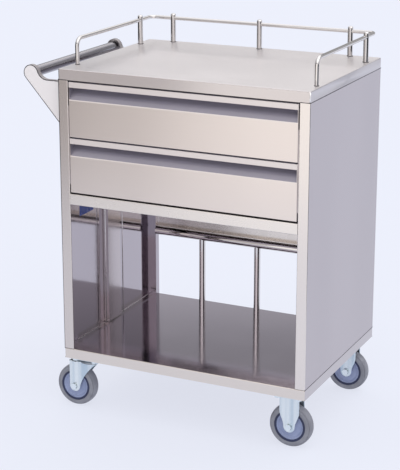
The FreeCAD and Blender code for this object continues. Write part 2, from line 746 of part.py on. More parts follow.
def turned(profile, x, y):
    """Solid of revolution about a wheel's axle from (radius, offset along the axle) points."""
    corners = [V(x, y + offset, WHEEL_R + radius) for radius, offset in profile]
    wire = Part.makePolygon(corners + corners[:1])
    return Part.Face(wire).revolve(V(x, y, WHEEL_R), V(0, 1, 0), 360)


def hub(x, y):
    """Wheel centre: rim, dished web and a boss bored for the axle sleeve."""
    bore = SLEEVE_R + RUN_GAP
    boss = HUB_BOSS_WIDTH / 2
    rim = HUB_WIDTH / 2
    dish = rim - HUB_DISH
    near_side = [(bore, -boss), (HUB_BOSS_R, -boss), (HUB_BOSS_R, -dish), (HUB_DISH_R, -dish),
                 (HUB_DISH_R, -rim), (HUB_R, -rim)]
    far_side = [(radius, -offset) for radius, offset in reversed(near_side)]
    return turned(near_side + far_side, x, y)


def tyre(x, y):
    """Solid tyre with rounded shoulders."""
    half = TYRE_WIDTH / 2
    ring = turned([(HUB_R, -half), (WHEEL_R, -half), (WHEEL_R, half), (HUB_R, half)], x, y)
    shoulders = []
    for edge in ring.Edges:
        if abs(edge.BoundBox.ZMax - 2 * WHEEL_R) < 0.01 and edge.BoundBox.YLength < 0.01:
            shoulders.append(edge)
    return ring.makeFillet(TYRE_CORNER, shoulders)


def caster_bolts():
    """Hex bolts from below through every plate, with nuts inside the channels."""
    pieces = []
    head_low = BASE_BOTTOM - PLATE_SHEET - BOLT_HEAD
    seat = BASE_BOTTOM + CHANNEL_SHEET
    for x in (PLATE_X, WIDTH - PLATE_X):
        for y in (PLATE_Y, DEPTH - PLATE_Y):
            for bx, by in bolt_places(x, y):
                head = hexagon(BOLT_ACROSS, BOLT_HEAD, (bx, by, head_low), (0, 0, 1))
                shank = rod(BOLT_R, (bx, by, head_low), (bx, by, seat + BOLT_HEAD + 2))
                nut = hexagon(BOLT_ACROSS, BOLT_HEAD, (bx, by, seat), (0, 0, 1)).cut(shank)
                pieces += [head.fuse(shank), nut]
    return Part.makeCompound(pieces)


# ---- assembly ----
def build_cabinet():
    """Sheet-metal body, rear bars, label and everything fixed to it."""
    save("top_tray", top_tray())
    save("left_side_panel", side_panel())
    save("right_side_panel", right_side_panel())
    save("left_stiffener", stiffener())
    save("right_stiffener", mirror_x(stiffener()))
    save("rear_panel", rear_panel())
    save("rear_cross_tube", rear_cross_tube())
    save("rear_guard_bars", rear_guard_bars())
    save("mid_front_rail", mid_front_rail())
    save("bay_ceiling", bay_ceiling())
    save("base_shelf", base_shelf())
    save("left_caster_channel", caster_channel())
    save("right_caster_channel", mirror_x(caster_channel()))
    save("label_plate", label_plate())
    save("runner_plates", Part.makeCompound([runner_plate(), mirror_x(runner_plate())]))


def build_rail_and_handle():
    """Guard rail round the top and push handle on the left side."""
    save("guard_rail", rail_solid(ROD_R))
    save("guard_rail_posts", guard_rail_posts())
    save("guard_rail_nuts", guard_rail_nuts())
    save("handle_bracket_front", handle_bracket())
    save("handle_bracket_rear", mirror_y(handle_bracket()))
    save("handle_tube", handle_tube())
    save("handle_screws", handle_screws())


def build_drawers():
    """Both drawers with their left and right slides."""
    for level, z0 in (("upper", UPPER_Z), ("lower", LOWER_Z)):
        save(level + "_drawer_front", drawer_front(z0))
        save(level + "_pull_lip", pull_lip(z0))
        save(level + "_drawer_box", drawer_box(z0))
        z = z0 + SLIDE_RAISE
        members = {"outer": slide_outer(z), "middle": slide_middle(z), "inner": slide_inner(z)}
        for member, left in members.items():
            save(level + "_left_slide_" + member, left)
            save(level + "_right_slide_" + member, mirror_x(left))


def build_casters():
    """Swivel casters under the handle end and rigid casters under the other end."""
    for row, y in (("front", PLATE_Y), ("rear", DEPTH - PLATE_Y)):
        left = row + "_left_"
        right = row + "_right_"
        rigid_x = WIDTH - PLATE_X
        save(left + "swivel_plate", swivel_plate(PLATE_X, y))
        save(left + "swivel_fork", swivel_fork(PLATE_X, y))
        save(right + "rigid_fork", rigid_fork(rigid_x, y))
        for name, x in ((left, PLATE_X - TRAIL), (right, rigid_x)):
            save(name + "axle", axle(x, y))
            save(name + "hub", hub(x, y))
            save(name + "tyre", tyre(x, y))
    save("kingpins", Part.makeCompound([kingpin(PLATE_X, y) for y in (PLATE_Y, DEPTH - PLATE_Y)]))
    save("caster_bolts", caster_bolts())


os.makedirs("parts", exist_ok=True)
build_cabinet()
build_rail_and_handle()
build_drawers()
build_casters()
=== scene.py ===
# %% [markdown]
# # Medication cart
# A stainless cart stands on a pale studio floor. Its frame, drawers and axles come packed from the
# CAD model, already in metres and in place. This lesson gives every part its metal, and makes the
# pieces whose shape a pressed or moulded surface shows best: forks, hubs, tyres and small fittings.

import bmesh
import bpy
import numpy as np
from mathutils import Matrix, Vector


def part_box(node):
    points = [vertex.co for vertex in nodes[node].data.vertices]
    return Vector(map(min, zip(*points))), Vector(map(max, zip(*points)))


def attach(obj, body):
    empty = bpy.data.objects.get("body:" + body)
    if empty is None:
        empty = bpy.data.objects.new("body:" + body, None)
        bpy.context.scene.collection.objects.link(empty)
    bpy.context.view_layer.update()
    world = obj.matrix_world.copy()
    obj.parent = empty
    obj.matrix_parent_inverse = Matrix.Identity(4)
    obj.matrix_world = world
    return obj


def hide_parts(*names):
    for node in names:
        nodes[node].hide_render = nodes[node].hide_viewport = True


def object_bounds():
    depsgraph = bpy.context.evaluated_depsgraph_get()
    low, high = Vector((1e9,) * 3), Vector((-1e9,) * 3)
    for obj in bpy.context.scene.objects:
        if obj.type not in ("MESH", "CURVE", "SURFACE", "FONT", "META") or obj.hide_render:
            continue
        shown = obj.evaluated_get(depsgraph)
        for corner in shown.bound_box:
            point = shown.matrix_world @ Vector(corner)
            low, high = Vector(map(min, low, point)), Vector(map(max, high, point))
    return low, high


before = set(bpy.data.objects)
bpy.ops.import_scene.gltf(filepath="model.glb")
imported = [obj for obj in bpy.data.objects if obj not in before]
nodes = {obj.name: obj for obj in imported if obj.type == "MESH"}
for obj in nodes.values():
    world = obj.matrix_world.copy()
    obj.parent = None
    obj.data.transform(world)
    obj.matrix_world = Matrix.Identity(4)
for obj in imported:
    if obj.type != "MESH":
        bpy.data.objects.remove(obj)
cad_low, cad_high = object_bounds()
MM = 0.001
print("CAD box", [round(v, 3) for v in (*cad_low, *cad_high)])

# %% [markdown]
# ## Surfaces from numbers
# Every new piece is a grid of points: a shape is a function of two parameters, worked out for all
# points at once. One helper turns such a grid into a mesh, joining its ends where it closes on
# itself. Another samples an outline whose corners are rounded by arcs.


# %% Grid and outline helpers
def grid_faces(rows, columns, close_rows, close_columns):
    """Quads between neighbours of a rows x columns grid, wrapping round where it is closed."""
    r = np.arange(rows if close_rows else rows - 1)
    c = np.arange(columns if close_columns else columns - 1)
    r, c = np.meshgrid(r, c, indexing="ij")
    r2 = (r + 1) % rows
    c2 = (c + 1) % columns
    corners = [r * columns + c, r * columns + c2, r2 * columns + c2, r2 * columns + c]
    return np.stack(corners, axis=-1).reshape(-1, 4)


def mesh_from(name, points, faces):
    """A smooth-shaded object from a point array and quad array."""
    mesh = bpy.data.meshes.new(name)
    mesh.from_pydata(points.tolist(), [], faces.tolist())
    mesh.polygons.foreach_set("use_smooth", np.ones(len(faces), dtype=bool))
    piece = bpy.data.objects.new(name, mesh)
    bpy.context.collection.objects.link(piece)
    return piece


def surface(name, grids, close_rows=False, close_columns=False):
    """One object from one or more grids of shape (rows, columns, 3)."""
    points = []
    faces = []
    start = 0
    for grid in grids:
        rows, columns, _ = grid.shape
        points.append(grid.reshape(-1, 3))
        faces.append(grid_faces(rows, columns, close_rows, close_columns) + start)
        start += rows * columns
    return mesh_from(name, np.concatenate(points), np.concatenate(faces))


def outward(piece):
    """Merge doubled points, then turn every face outwards."""
    work = bmesh.new()
    work.from_mesh(piece.data)
    bmesh.ops.remove_doubles(work, verts=work.verts, dist=1e-6)
    bmesh.ops.recalc_face_normals(work, faces=work.faces)
    work.to_mesh(piece.data)
    work.free()
    return piece


def rounded(corners, radii, steps=5):
    """Closed outline through corners, each replaced by a quadratic bend of the given size."""
    corners = np.asarray(corners, dtype=float)
    t = np.linspace(0, 1, steps)[:, None]
    parts = []
    for k, corner in enumerate(corners):
        before = corners[k - 1] - corner
        after = corners[(k + 1) % len(corners)] - corner
        a = corner + before / np.linalg.norm(before) * radii[k]
        b = corner + after / np.linalg.norm(after) * radii[k]
        parts.append((1 - t) ** 2 * a + 2 * t * (1 - t) * corner + t ** 2 * b)
    return np.concatenate(parts)


def turned_about_y(profile, centre, turns=72):
    """Grid of (radius, offset along Y) points turned about Y: x and z are radius times cos, sin."""
    angle = np.linspace(0, 2 * np.pi, turns, endpoint=False)[:, None]
    radius = profile[None, :, 0]
    x = centre[0] + radius * np.cos(angle)
    y = centre[1] + profile[None, :, 1] + 0 * angle
    z = centre[2] + radius * np.sin(angle)
    return np.stack([x, y, z], axis=-1)


def turned_about_z(profile, centre, turns=40):
    """Grid of (radius, height) points turned upright: x and y are radius times cos, sin."""
    angle = np.linspace(0, 2 * np.pi, turns, endpoint=False)[:, None]
    radius = profile[None, :, 0]
    x = centre[0] + radius * np.cos(angle)
    y = centre[1] + radius * np.sin(angle)
    z = centre[2] + profile[None, :, 1] + 0 * angle
    return np.stack([x, y, z], axis=-1)


def middle(node):
    """Centre of a CAD node's box, in metres."""
    low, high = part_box(node)
    return (np.array(low) + np.array(high)) / 2


# %% [markdown]
# ## Shared shader groups
# Brushed sheet shows fine parallel lines, a slow change of tone from the rolling mill, and soft
# smudges where hands and cloths have been. Each is a node group, built once and placed in every
# material that needs it, with that material's own values. All of them read object coordinates,
# because the grain belongs to the metal and not to the camera.


# %% Group helpers
def new_group(name, inputs, outputs):
    """Empty shader group with float or vector sockets, and its input and output nodes."""
    group = bpy.data.node_groups.new(name, "ShaderNodeTree")
    kinds = {"float": "NodeSocketFloat", "vector": "NodeSocketVector"}
    for socket, kind, default in inputs:
        made = group.interface.new_socket(socket, in_out="INPUT", socket_type=kinds[kind])
        if default is not None:
            made.default_value = default
    for socket, kind in outputs:
        group.interface.new_socket(socket, in_out="OUTPUT", socket_type=kinds[kind])
    enter = group.nodes.new("NodeGroupInput")
    leave = group.nodes.new("NodeGroupOutput")
    return group, enter, leave


def add(tree, kind, links=None, **settings):
    """Add a node, set its properties and link sockets: {input name or index: output socket}."""
    node = tree.nodes.new(kind)
    for key, value in settings.items():
        setattr(node, key, value)
    for socket, source in (links or {}).items():
        if hasattr(source, "is_output"):
            tree.links.new(source, node.inputs[socket])
        else:
            node.inputs[socket].default_value = source
    return node


def maths(tree, operation, a, b):
    """A Math node's output for two sockets or numbers."""
    return add(tree, "ShaderNodeMath", {0: a, 1: b}, operation=operation).outputs[0]


def stretched(group, enter):
    """Coordinates times Stretch: the larger the factor, the finer the pattern along that axis."""
    inputs = {0: enter.outputs["Coordinates"], 1: enter.outputs["Stretch"]}
    return add(group, "ShaderNodeVectorMath", inputs, operation="MULTIPLY").outputs[0]


# %% Brushed grain group
def make_grain():
    """Fine lines: noise squeezed across the brushing direction. Puts out a mask and a height."""
    group, enter, leave = new_group(
        "brushed_grain",
        [("Coordinates", "vector", None), ("Stretch", "vector", (6.0, 900.0, 900.0)),
         ("Line contrast", "float", 0.5)],
        [("Lines", "float"), ("Height", "float")])
    scaled = stretched(group, enter)
    fine = add(group, "ShaderNodeTexNoise",
               {"Vector": scaled, "Scale": 1.0, "Detail": 3.0, "Roughness": 0.65})
    centred = maths(group, "SUBTRACT", fine.outputs["Fac"], 0.5)
    strength = maths(group, "MULTIPLY", centred, enter.outputs["Line contrast"])
    lines = maths(group, "ADD", strength, 0.5)
    group.links.new(lines, leave.inputs["Lines"])
    group.links.new(fine.outputs["Fac"], leave.inputs["Height"])
    return group


# %% Mill tone and smudge groups
def make_mill_tone():
    """Slow bands of tone across a rolled sheet, as a mask from 0 to 1."""
    group, enter, leave = new_group(
        "mill_tone",
        [("Coordinates", "vector", None), ("Stretch", "vector", (5.0, 5.0, 0.8))],
        [("Tone", "float")])
    scaled = stretched(group, enter)
    bands = add(group, "ShaderNodeTexNoise",
                {"Vector": scaled, "Scale": 1.0, "Detail": 1.5, "Roughness": 0.4})
    spread = add(group, "ShaderNodeMapRange",
                 {"Value": bands.outputs["Fac"], "From Min": 0.3, "From Max": 0.7})
    group.links.new(spread.outputs[0], leave.inputs["Tone"])
    return group


def make_smudges():
    """Faint wiped patches and fingerprints, as a mask that is mostly 0."""
    group, enter, leave = new_group(
        "smudges",
        [("Coordinates", "vector", None), ("Scale", "float", 9.0)],
        [("Smudge", "float")])
    wide = add(group, "ShaderNodeTexNoise",
               {"Vector": enter.outputs["Coordinates"], "Scale": enter.outputs["Scale"],
                "Detail": 3.0, "Roughness": 0.5})
    kept = add(group, "ShaderNodeMapRange",
               {"Value": wide.outputs["Fac"], "From Min": 0.40, "From Max": 0.80})
    group.links.new(kept.outputs[0], leave.inputs["Smudge"])
    return group


GRAIN = make_grain()
MILL_TONE = make_mill_tone()
SMUDGES = make_smudges()
print("shader groups:", [g.name for g in (GRAIN, MILL_TONE, SMUDGES)])

# %% [markdown]
# ## Metals
# One recipe makes every steel: a Principled shader whose colour drifts between two close tones,
# whose roughness rises a little in the smudges, and whose grain is a very shallow bump. What
# differs from sheet to sheet is the direction of the lines, how far they are polished away, and
# how light or dark the tones are, which paints the light and shade that sheet shows. A folded sheet
# mirrors something else with each of its faces, so its front and its flanks may have tones of
# their own, painted reflection and shade, chosen by masks that compare a coordinate with a plane.


# %% Material helpers
def place_group(tree, group, coordinates, **values):
    """Put a group into a material and set its inputs, named with underscores for spaces."""
    node = tree.nodes.new("ShaderNodeGroup")
    node.node_tree = group
    tree.links.new(coordinates, node.inputs["Coordinates"])
    for key, value in values.items():
        node.inputs[key.replace("_", " ")].default_value = value
    return node


def new_material(name):
    """Material with a Principled shader and object coordinates at hand."""
    material = bpy.data.materials.new(name)
    material.use_nodes = True
    tree = material.node_tree
    shader = tree.nodes["Principled BSDF"]
    coordinates = tree.nodes.new("ShaderNodeTexCoord").outputs["Object"]
    return material, tree, shader, coordinates


# %% Masks for faces
SKIN = 1.6 * MM
FRONT_FACE = cad_low.y + SKIN
SIDES = ("X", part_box("top_tray")[0][0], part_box("top_tray")[1][0])
OUTER_SHEETS = ("Y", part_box("handle_bracket_front")[0][1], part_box("handle_bracket_rear")[1][1])


def front_face_mask(tree, coordinates):
    """1 on the folded front face of a panel, 0 behind it: y is less than the face's plus a skin."""
    depth = add(tree, "ShaderNodeSeparateXYZ", {0: coordinates}).outputs["Y"]
    return maths(tree, "LESS_THAN", depth, FRONT_FACE)


def flank_mask(tree, coordinates, faces):
    """1 on two outer faces: distance from the middle plane is over half the width less a skin."""
    axis, low, high = faces
    across = add(tree, "ShaderNodeSeparateXYZ", {0: coordinates}).outputs[axis]
    away = maths(tree, "SUBTRACT", across, (low + high) / 2)
    distance = maths(tree, "ABSOLUTE", away, 0.0)
    return maths(tree, "GREATER_THAN", distance, (high - low) / 2 - SKIN)


def two_tones(tree, factor, light, dark):
    """Colour that goes from dark at factor 0 to light at factor 1."""
    mix = add(tree, "ShaderNodeMix", {0: factor, 6: (*dark, 1), 7: (*light, 1)}, data_type="RGBA")
    return mix.outputs[2]


def masked(tree, mask, under, over):
    """The colour over where the mask is 1, and the colour under where it is 0."""
    return add(tree, "ShaderNodeMix", {0: mask, 6: under, 7: over}, data_type="RGBA").outputs[2]


# %% Steel recipe
SHALLOW = 0.5 * MM


def steel(name, light, dark, grain, bands, rough, metallic=1.0, bump=0.05, contrast=0.5,
          anisotropic=0.0, tangent="Z", smear=0.08, face=None, face_rough=0.26, flank=None,
          flank_at=SIDES, slope_metal=None):
    """Brushed or polished steel: light and dark are its two tones, grain and bands its stretches.

    The tone's factor is half the lines plus half the mill tone. Roughness is rough, plus smear
    times the smudges, plus smear times the lines less a half.

    face is a second pair of tones, painted reflection and shade for the part's folded front face,
    and face_rough its roughness. flank is a pair of painted reflection and shade tones for the two
    outer faces that flank_at names by axis and places.
    slope_metal is how metallic the sheet behind its front face looks, where a slope sits in its
    own shade.
    """
    material, tree, shader, coordinates = new_material(name)
    lines = place_group(tree, GRAIN, coordinates, Stretch=grain, Line_contrast=contrast)
    tone = place_group(tree, MILL_TONE, coordinates, Stretch=bands)
    marks = place_group(tree, SMUDGES, coordinates)
    blend = maths(tree, "MULTIPLY", lines.outputs["Lines"], 0.5)
    half_tone = maths(tree, "MULTIPLY", tone.outputs["Tone"], 0.5)
    factor = maths(tree, "ADD", blend, half_tone)
    smudge_rough = maths(tree, "MULTIPLY", marks.outputs["Smudge"], smear)
    line_rough = maths(tree, "MULTIPLY", lines.outputs["Lines"], smear)
    total = maths(tree, "ADD", smudge_rough, line_rough)
    roughness = maths(tree, "ADD", total, rough - smear / 2)
    colour = two_tones(tree, factor, light, dark)
    if flank:
        sides = flank_mask(tree, coordinates, flank_at)
        colour = masked(tree, sides, colour, two_tones(tree, factor, *flank))
    if face:
        mask = front_face_mask(tree, coordinates)
        colour = masked(tree, mask, colour, two_tones(tree, factor, *face))
        roughness = add(tree, "ShaderNodeMix", {0: mask, 2: roughness, 3: face_rough}).outputs[0]
        if slope_metal:
            share = add(tree, "ShaderNodeMix", {0: mask, 2: slope_metal, 3: metallic}).outputs[0]
            tree.links.new(share, shader.inputs["Metallic"])
    tree.links.new(colour, shader.inputs["Base Color"])
    tree.links.new(roughness, shader.inputs["Roughness"])
    if bump:
        height = add(tree, "ShaderNodeBump",
                     {"Strength": bump, "Distance": SHALLOW, "Height": lines.outputs["Height"]})
        tree.links.new(height.outputs[0], shader.inputs["Normal"])
    shader.inputs["Metallic"].default_value = metallic
    if anisotropic:
        shader.inputs["Anisotropic"].default_value = anisotropic
        along = add(tree, "ShaderNodeTangent", direction_type="RADIAL", axis=tangent)
        tree.links.new(along.outputs[0], shader.inputs["Tangent"])
    return material


# %% Cabinet steels
ALONG_X = (5.0, 700.0, 700.0)
ALONG_Y = (700.0, 5.0, 700.0)
ALONG_Z = (700.0, 700.0, 5.0)
UPRIGHT_BANDS = (5.0, 5.0, 0.5)
FLAT_BANDS = (2.0, 3.0, 2.0)
FINE_SPANGLE = (60.0, 60.0, 60.0)
WIDE_SPANGLE = (30.0, 30.0, 30.0)
# Light tone of a drawer's front face: painted light, against the dark recess behind it.
DRAWER_FACE = ((0.79, 0.72, 0.68), (0.70, 0.635, 0.60))

FINISHES = {
    # The tray's front face and sides are darker than its top: painted shade and reflection.
    "tray": steel("tray_steel", (0.745, 0.71, 0.71), (0.68, 0.65, 0.655), ALONG_X, FLAT_BANDS,
                  rough=0.28, bump=0.006, anisotropic=0.9, tangent="X", smear=0.04,
                  face=((0.70, 0.65, 0.635), (0.63, 0.585, 0.57)),
                  flank=((0.67, 0.64, 0.65), (0.61, 0.585, 0.60))),
    # Behind its front face the drawer front is dark: painted shade in the recess under the lip.
    "front": steel("drawer_front_steel", (0.33, 0.305, 0.35), (0.275, 0.255, 0.295), ALONG_X,
                   UPRIGHT_BANDS, rough=0.14, bump=0.01, slope_metal=0.25,
                   face=DRAWER_FACE, face_rough=0.29),
    # The pull lip's light mauve tone paints the reflection its slope catches in the shaded recess.
    "pull": steel("pull_steel", (0.70, 0.66, 0.77), (0.62, 0.58, 0.69), ALONG_X,
                  UPRIGHT_BANDS, rough=0.22, metallic=0.25, bump=0.0,
                  face=DRAWER_FACE, face_rough=0.29),
    "frame": steel("frame_steel", (0.84, 0.79, 0.74), (0.76, 0.71, 0.67), ALONG_X,
                   UPRIGHT_BANDS, rough=0.26, bump=0.02),
    # The right panel's flat is dark and its front post face light: painted shade and painted light.
    "side": steel("side_panel_steel", (0.53, 0.49, 0.51), (0.48, 0.445, 0.465), ALONG_Z,
                  UPRIGHT_BANDS, rough=0.24, bump=0.0, contrast=0.4, smear=0.02,
                  face=((0.80, 0.745, 0.71), (0.74, 0.69, 0.66))),
    # The left panel likewise: a dark flat and a light front face, painted shade and painted light.
    "mirror": steel("mirror_steel", (0.50, 0.46, 0.49), (0.42, 0.385, 0.42), ALONG_Z,
                    UPRIGHT_BANDS, rough=0.07, bump=0.0, contrast=0.3, smear=0.02,
                    face=((0.70, 0.645, 0.62), (0.63, 0.58, 0.555))),
    # The shelf's mauve flat, lighter front lip and darker sides paint the reflection and shade each
    # shows.
    "shelf": steel("shelf_steel", (0.60, 0.55, 0.62), (0.50, 0.46, 0.53), ALONG_X, FLAT_BANDS,
                   rough=0.09, bump=0.002, contrast=0.25, smear=0.03,
                   face=((0.76, 0.70, 0.65), (0.69, 0.635, 0.59)),
                   flank=((0.58, 0.545, 0.555), (0.53, 0.495, 0.505))),
    "inside": steel("inside_steel", (0.56, 0.51, 0.52), (0.48, 0.435, 0.45), ALONG_Z,
                    UPRIGHT_BANDS, rough=0.14, bump=0.0, contrast=0.3, smear=0.04),
    "polished": steel("polished_steel", (0.76, 0.73, 0.715), (0.64, 0.615, 0.60), ALONG_Z,
                      UPRIGHT_BANDS, rough=0.05, bump=0.0, contrast=0.2, smear=0.02),
    # The bracket's outer faces are near white and the rest dark and dull: painted highlight and
    # shade.
    "bracket": steel("bracket_steel", (0.36, 0.33, 0.33), (0.29, 0.265, 0.27), ALONG_X,
                     UPRIGHT_BANDS, rough=0.40, metallic=0.20, bump=0.02,
                     flank=((0.97, 0.925, 0.90), (0.92, 0.875, 0.855)), flank_at=OUTER_SHEETS),
    "grip": steel("grip_steel", (0.35, 0.34, 0.365), (0.285, 0.275, 0.30), ALONG_Y,
                  UPRIGHT_BANDS, rough=0.18, bump=0.0),
    "zinc": steel("zinc_plate", (0.84, 0.90, 0.92), (0.70, 0.78, 0.84), FINE_SPANGLE,
                  WIDE_SPANGLE, rough=0.20, metallic=0.85, bump=0.004),
    "slide": steel("slide_zinc", (0.74, 0.76, 0.78), (0.62, 0.64, 0.67), ALONG_Y,
                   UPRIGHT_BANDS, rough=0.28, bump=0.02),
    # Near black: painted shadow for the beads in gaps between sheets and the collars round
    # uprights.
    "seam": steel("seam_shadow", (0.040, 0.036, 0.042), (0.025, 0.022, 0.028), ALONG_Z,
                  UPRIGHT_BANDS, rough=0.5, metallic=0.3, bump=0.02),
    # Light and blue-dark upright bands, the mill tone stretched along x, paint the legs' reflection
    # stripes.
    "leg": steel("leg_zinc_painted_stripes", (0.88, 0.92, 0.92), (0.38, 0.50, 0.62), ALONG_Z,
                 (75.0, 3.0, 1.0), rough=0.24, metallic=0.85, bump=0.0, contrast=0.1, smear=0.03),
    "washer": steel("washer_zinc", (0.34, 0.37, 0.40), (0.22, 0.24, 0.27), FINE_SPANGLE,
                    WIDE_SPANGLE, rough=0.30, metallic=0.85, bump=0.01),
    # Near white beads at tight bends: painted highlights.
    "bend": steel("bend_painted_highlight", (0.96, 0.94, 0.93), (0.90, 0.88, 0.87), ALONG_Z,
                  UPRIGHT_BANDS, rough=0.22, metallic=0.75, bump=0.0),
    # Near black rim bead: painted shade along the bracket's rolled hem.
    "rim": steel("rim_steel_painted_shade", (0.075, 0.073, 0.082), (0.05, 0.049, 0.056), ALONG_Y,
                 UPRIGHT_BANDS, rough=0.20, bump=0.0),
    "weld": steel("weld_bead", (0.86, 0.82, 0.82), (0.70, 0.66, 0.68), (90.0, 90.0, 90.0),
                  (20.0, 20.0, 20.0), rough=0.30, metallic=0.7, bump=0.05),
}
print("metals:", sorted(FINISHES))

# %% [markdown]
# ## Rubber and plastic
# The tyre is grey non-marking rubber: dull, a little lighter where dust sits. The hub is moulded
# slate-blue plastic with a fine pebble. Both need colour that drifts, never one flat value. The
# same recipe serves the near black ring that paints the shade of the groove between them, and the
# blank film of the label.


# %% Soft finishes
PATCH_SCALE = 40.0
DUSTY = 0.12
PEBBLE_DEPTH = 0.4 * MM


def moulded(name, light, dark, rough, pebble, bump):
    """Moulded plastic or rubber: two tones mixed by smudges, and a pebbled surface."""
    material, tree, shader, coordinates = new_material(name)
    marks = place_group(tree, SMUDGES, coordinates, Scale=PATCH_SCALE)
    grains = add(tree, "ShaderNodeTexNoise",
                 {"Vector": coordinates, "Scale": pebble, "Detail": 2.0})
    colour = two_tones(tree, marks.outputs["Smudge"], light, dark)
    spread = maths(tree, "MULTIPLY", marks.outputs["Smudge"], DUSTY)
    roughness = maths(tree, "ADD", spread, rough)
    height = add(tree, "ShaderNodeBump",
                 {"Strength": bump, "Distance": PEBBLE_DEPTH, "Height": grains.outputs["Fac"]})
    tree.links.new(colour, shader.inputs["Base Color"])
    tree.links.new(roughness, shader.inputs["Roughness"])
    tree.links.new(height.outputs[0], shader.inputs["Normal"])
    return material


MOULDED = {
    "tyre": ("tyre_rubber", (0.30, 0.305, 0.345), (0.21, 0.213, 0.245), 0.55, 900.0, 0.25),
    "hub": ("hub_plastic", (0.33, 0.38, 0.56), (0.25, 0.295, 0.46), 0.38, 1400.0, 0.15),
    # Near black ring in the groove between hub and tyre: painted shade.
    "groove": ("groove_painted_shade", (0.02, 0.03, 0.09), (0.012, 0.018, 0.06), 0.5, 900.0, 0.1),
    "label": ("label_film", (0.03, 0.08, 0.42), (0.022, 0.06, 0.33), 0.25, 200.0, 0.02),
}
for key, recipe in MOULDED.items():
    FINISHES[key] = moulded(*recipe)
print("soft finishes:", sorted(MOULDED))


# %% Dress the CAD nodes
def dress(finish, *names):
    """Give CAD nodes a finish through their material slots."""
    for name in names:
        mesh_object = nodes[name]
        for slot in mesh_object.material_slots:
            slot.material = FINISHES[finish]


WEARS = {
    "tray": ["top_tray"],
    "front": ["upper_drawer_front", "lower_drawer_front"],
    "pull": ["upper_pull_lip", "lower_pull_lip"],
    "frame": ["mid_front_rail", "rear_panel"],
    "side": ["right_side_panel"],
    "mirror": ["left_side_panel"],
    "shelf": ["base_shelf"],
    "inside": ["left_stiffener", "right_stiffener", "bay_ceiling", "upper_drawer_box",
               "lower_drawer_box", "runner_plates", "left_caster_channel", "right_caster_channel"],
    "polished": ["guard_rail", "guard_rail_posts", "rear_cross_tube", "rear_guard_bars"],
    "bracket": ["handle_bracket_front", "handle_bracket_rear"],
    "grip": ["handle_tube"],
    "zinc": ["guard_rail_nuts", "handle_screws", "caster_bolts", "kingpins"],
    "label": ["label_plate"],
}
for finish, names in WEARS.items():
    dress(finish, *names)
for name in nodes:
    if "_slide_" in name:
        dress("slide", name)
    if name.endswith(("_axle", "_swivel_plate", "_fork")):
        dress("zinc", name)
    if name.endswith("_tyre"):
        dress("tyre", name)
    if name.endswith("_hub"):
        dress("hub", name)
print("dressed", len(nodes), "nodes")

# %% [markdown]
# ## Wheels
# A caster wheel is a moulded hub inside a ring of rubber. Seen from the side, a thin groove parts
# the two, and a near black ring set in it paints the groove's shade. Each is a closed outline of
# radius against width, turned about the axle, so that the crown of the tread and the dish of the
# hub are real shape.

# %% Tyre, hub and groove
TYRE_OUTLINE = rounded(
    [(0.0352, -0.0128), (0.0440, -0.0135), (0.0492, -0.0098), (0.0500, 0.0), (0.0492, 0.0098),
     (0.0440, 0.0135), (0.0352, 0.0128), (0.0342, 0.0)],
    [0.0012, 0.0035, 0.0035, 0.0035, 0.0035, 0.0035, 0.0012, 0.0010])
HUB_OUTLINE = rounded(
    [(0.0061, -0.0150), (0.0112, -0.0150), (0.0128, -0.0095), (0.0262, -0.0095),
     (0.0285, -0.0122), (0.0330, -0.0122), (0.0336, 0.0), (0.0330, 0.0122),
     (0.0285, 0.0122), (0.0262, 0.0095), (0.0128, 0.0095), (0.0112, 0.0150), (0.0061, 0.0150)],
    [0.0004, 0.0010, 0.0016, 0.0020, 0.0010, 0.0008, 0.0006, 0.0008, 0.0010, 0.0020, 0.0016,
     0.0010, 0.0004])
GROOVE_OUTLINE = rounded([(0.0318, -0.0136), (0.0366, -0.0136), (0.0366, 0.0136), (0.0318, 0.0136)],
                         [0.0003] * 4)
WHEEL_PARTS = (("tyre", TYRE_OUTLINE, "tyre_rubber"), ("hub", HUB_OUTLINE, "hub_plastic"),
               ("groove", GROOVE_OUTLINE, "hub_plastic"))


def make_wheel(corner):
    """Turned tyre, hub and groove ring of one caster, riding on its wheel body."""
    centre = middle(corner + "_tyre")
    for part, outline, slot_name in WHEEL_PARTS:
        grid = turned_about_y(outline, centre, turns=96)
        piece = outward(surface(f"{corner}_{part}_turned", [grid], True, True))
        piece.data.materials.append(FINISHES[part])
        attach(piece, corner + "_wheel")
        if part != "groove":
            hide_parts(f"{corner}_{part}")
    return centre


CORNERS = ["front_left", "front_right", "rear_left", "rear_right"]
wheel_centres = {corner: make_wheel(corner) for corner in CORNERS}
print("wheel centres", {k: np.round(v, 3).tolist() for k, v in wheel_centres.items()})

# %% [markdown]
# ## Forks
# A caster fork is pressed from zinc-plated sheet. Each leg is bowed: its two edges curl inwards,
# which stiffens it and catches the light as bright and dark upright stripes, and such stripes are
# also painted into the leg's colour as light and blue-dark bands. A leg is a grid whose rows are
# heights and whose columns run round the section, outer skin out and inner skin back. The swivel
# fork trails its wheel, so one edge is plumb and the other slopes. The rigid fork is a tongue with
# parallel sides.


# %% Leg section and slab
STRAIGHT_ROWS = 30
END_ROWS = 14
LEG_COLUMNS = 36
SHEET = 2.0 * MM
CURL = 8.5 * MM
END_CURL = 4.0 * MM
CURL_DEPTH = 2.4 * MM
END_RADIUS = 13.8 * MM
AXLE_HEIGHT = 50.0 * MM
CURL_RISE = 16.0 * MM
CREASE_WIDE = 3.0 * MM
CREASE_STEP = 0.7 * MM
THINNEST = 0.2 * MM


def eased(t):
    """Smooth step from 0 to 1: three t squared less two t cubed, with t kept within 0 and 1."""
    t = np.clip(t, 0, 1)
    return t ** 2 * (3 - 2 * t)


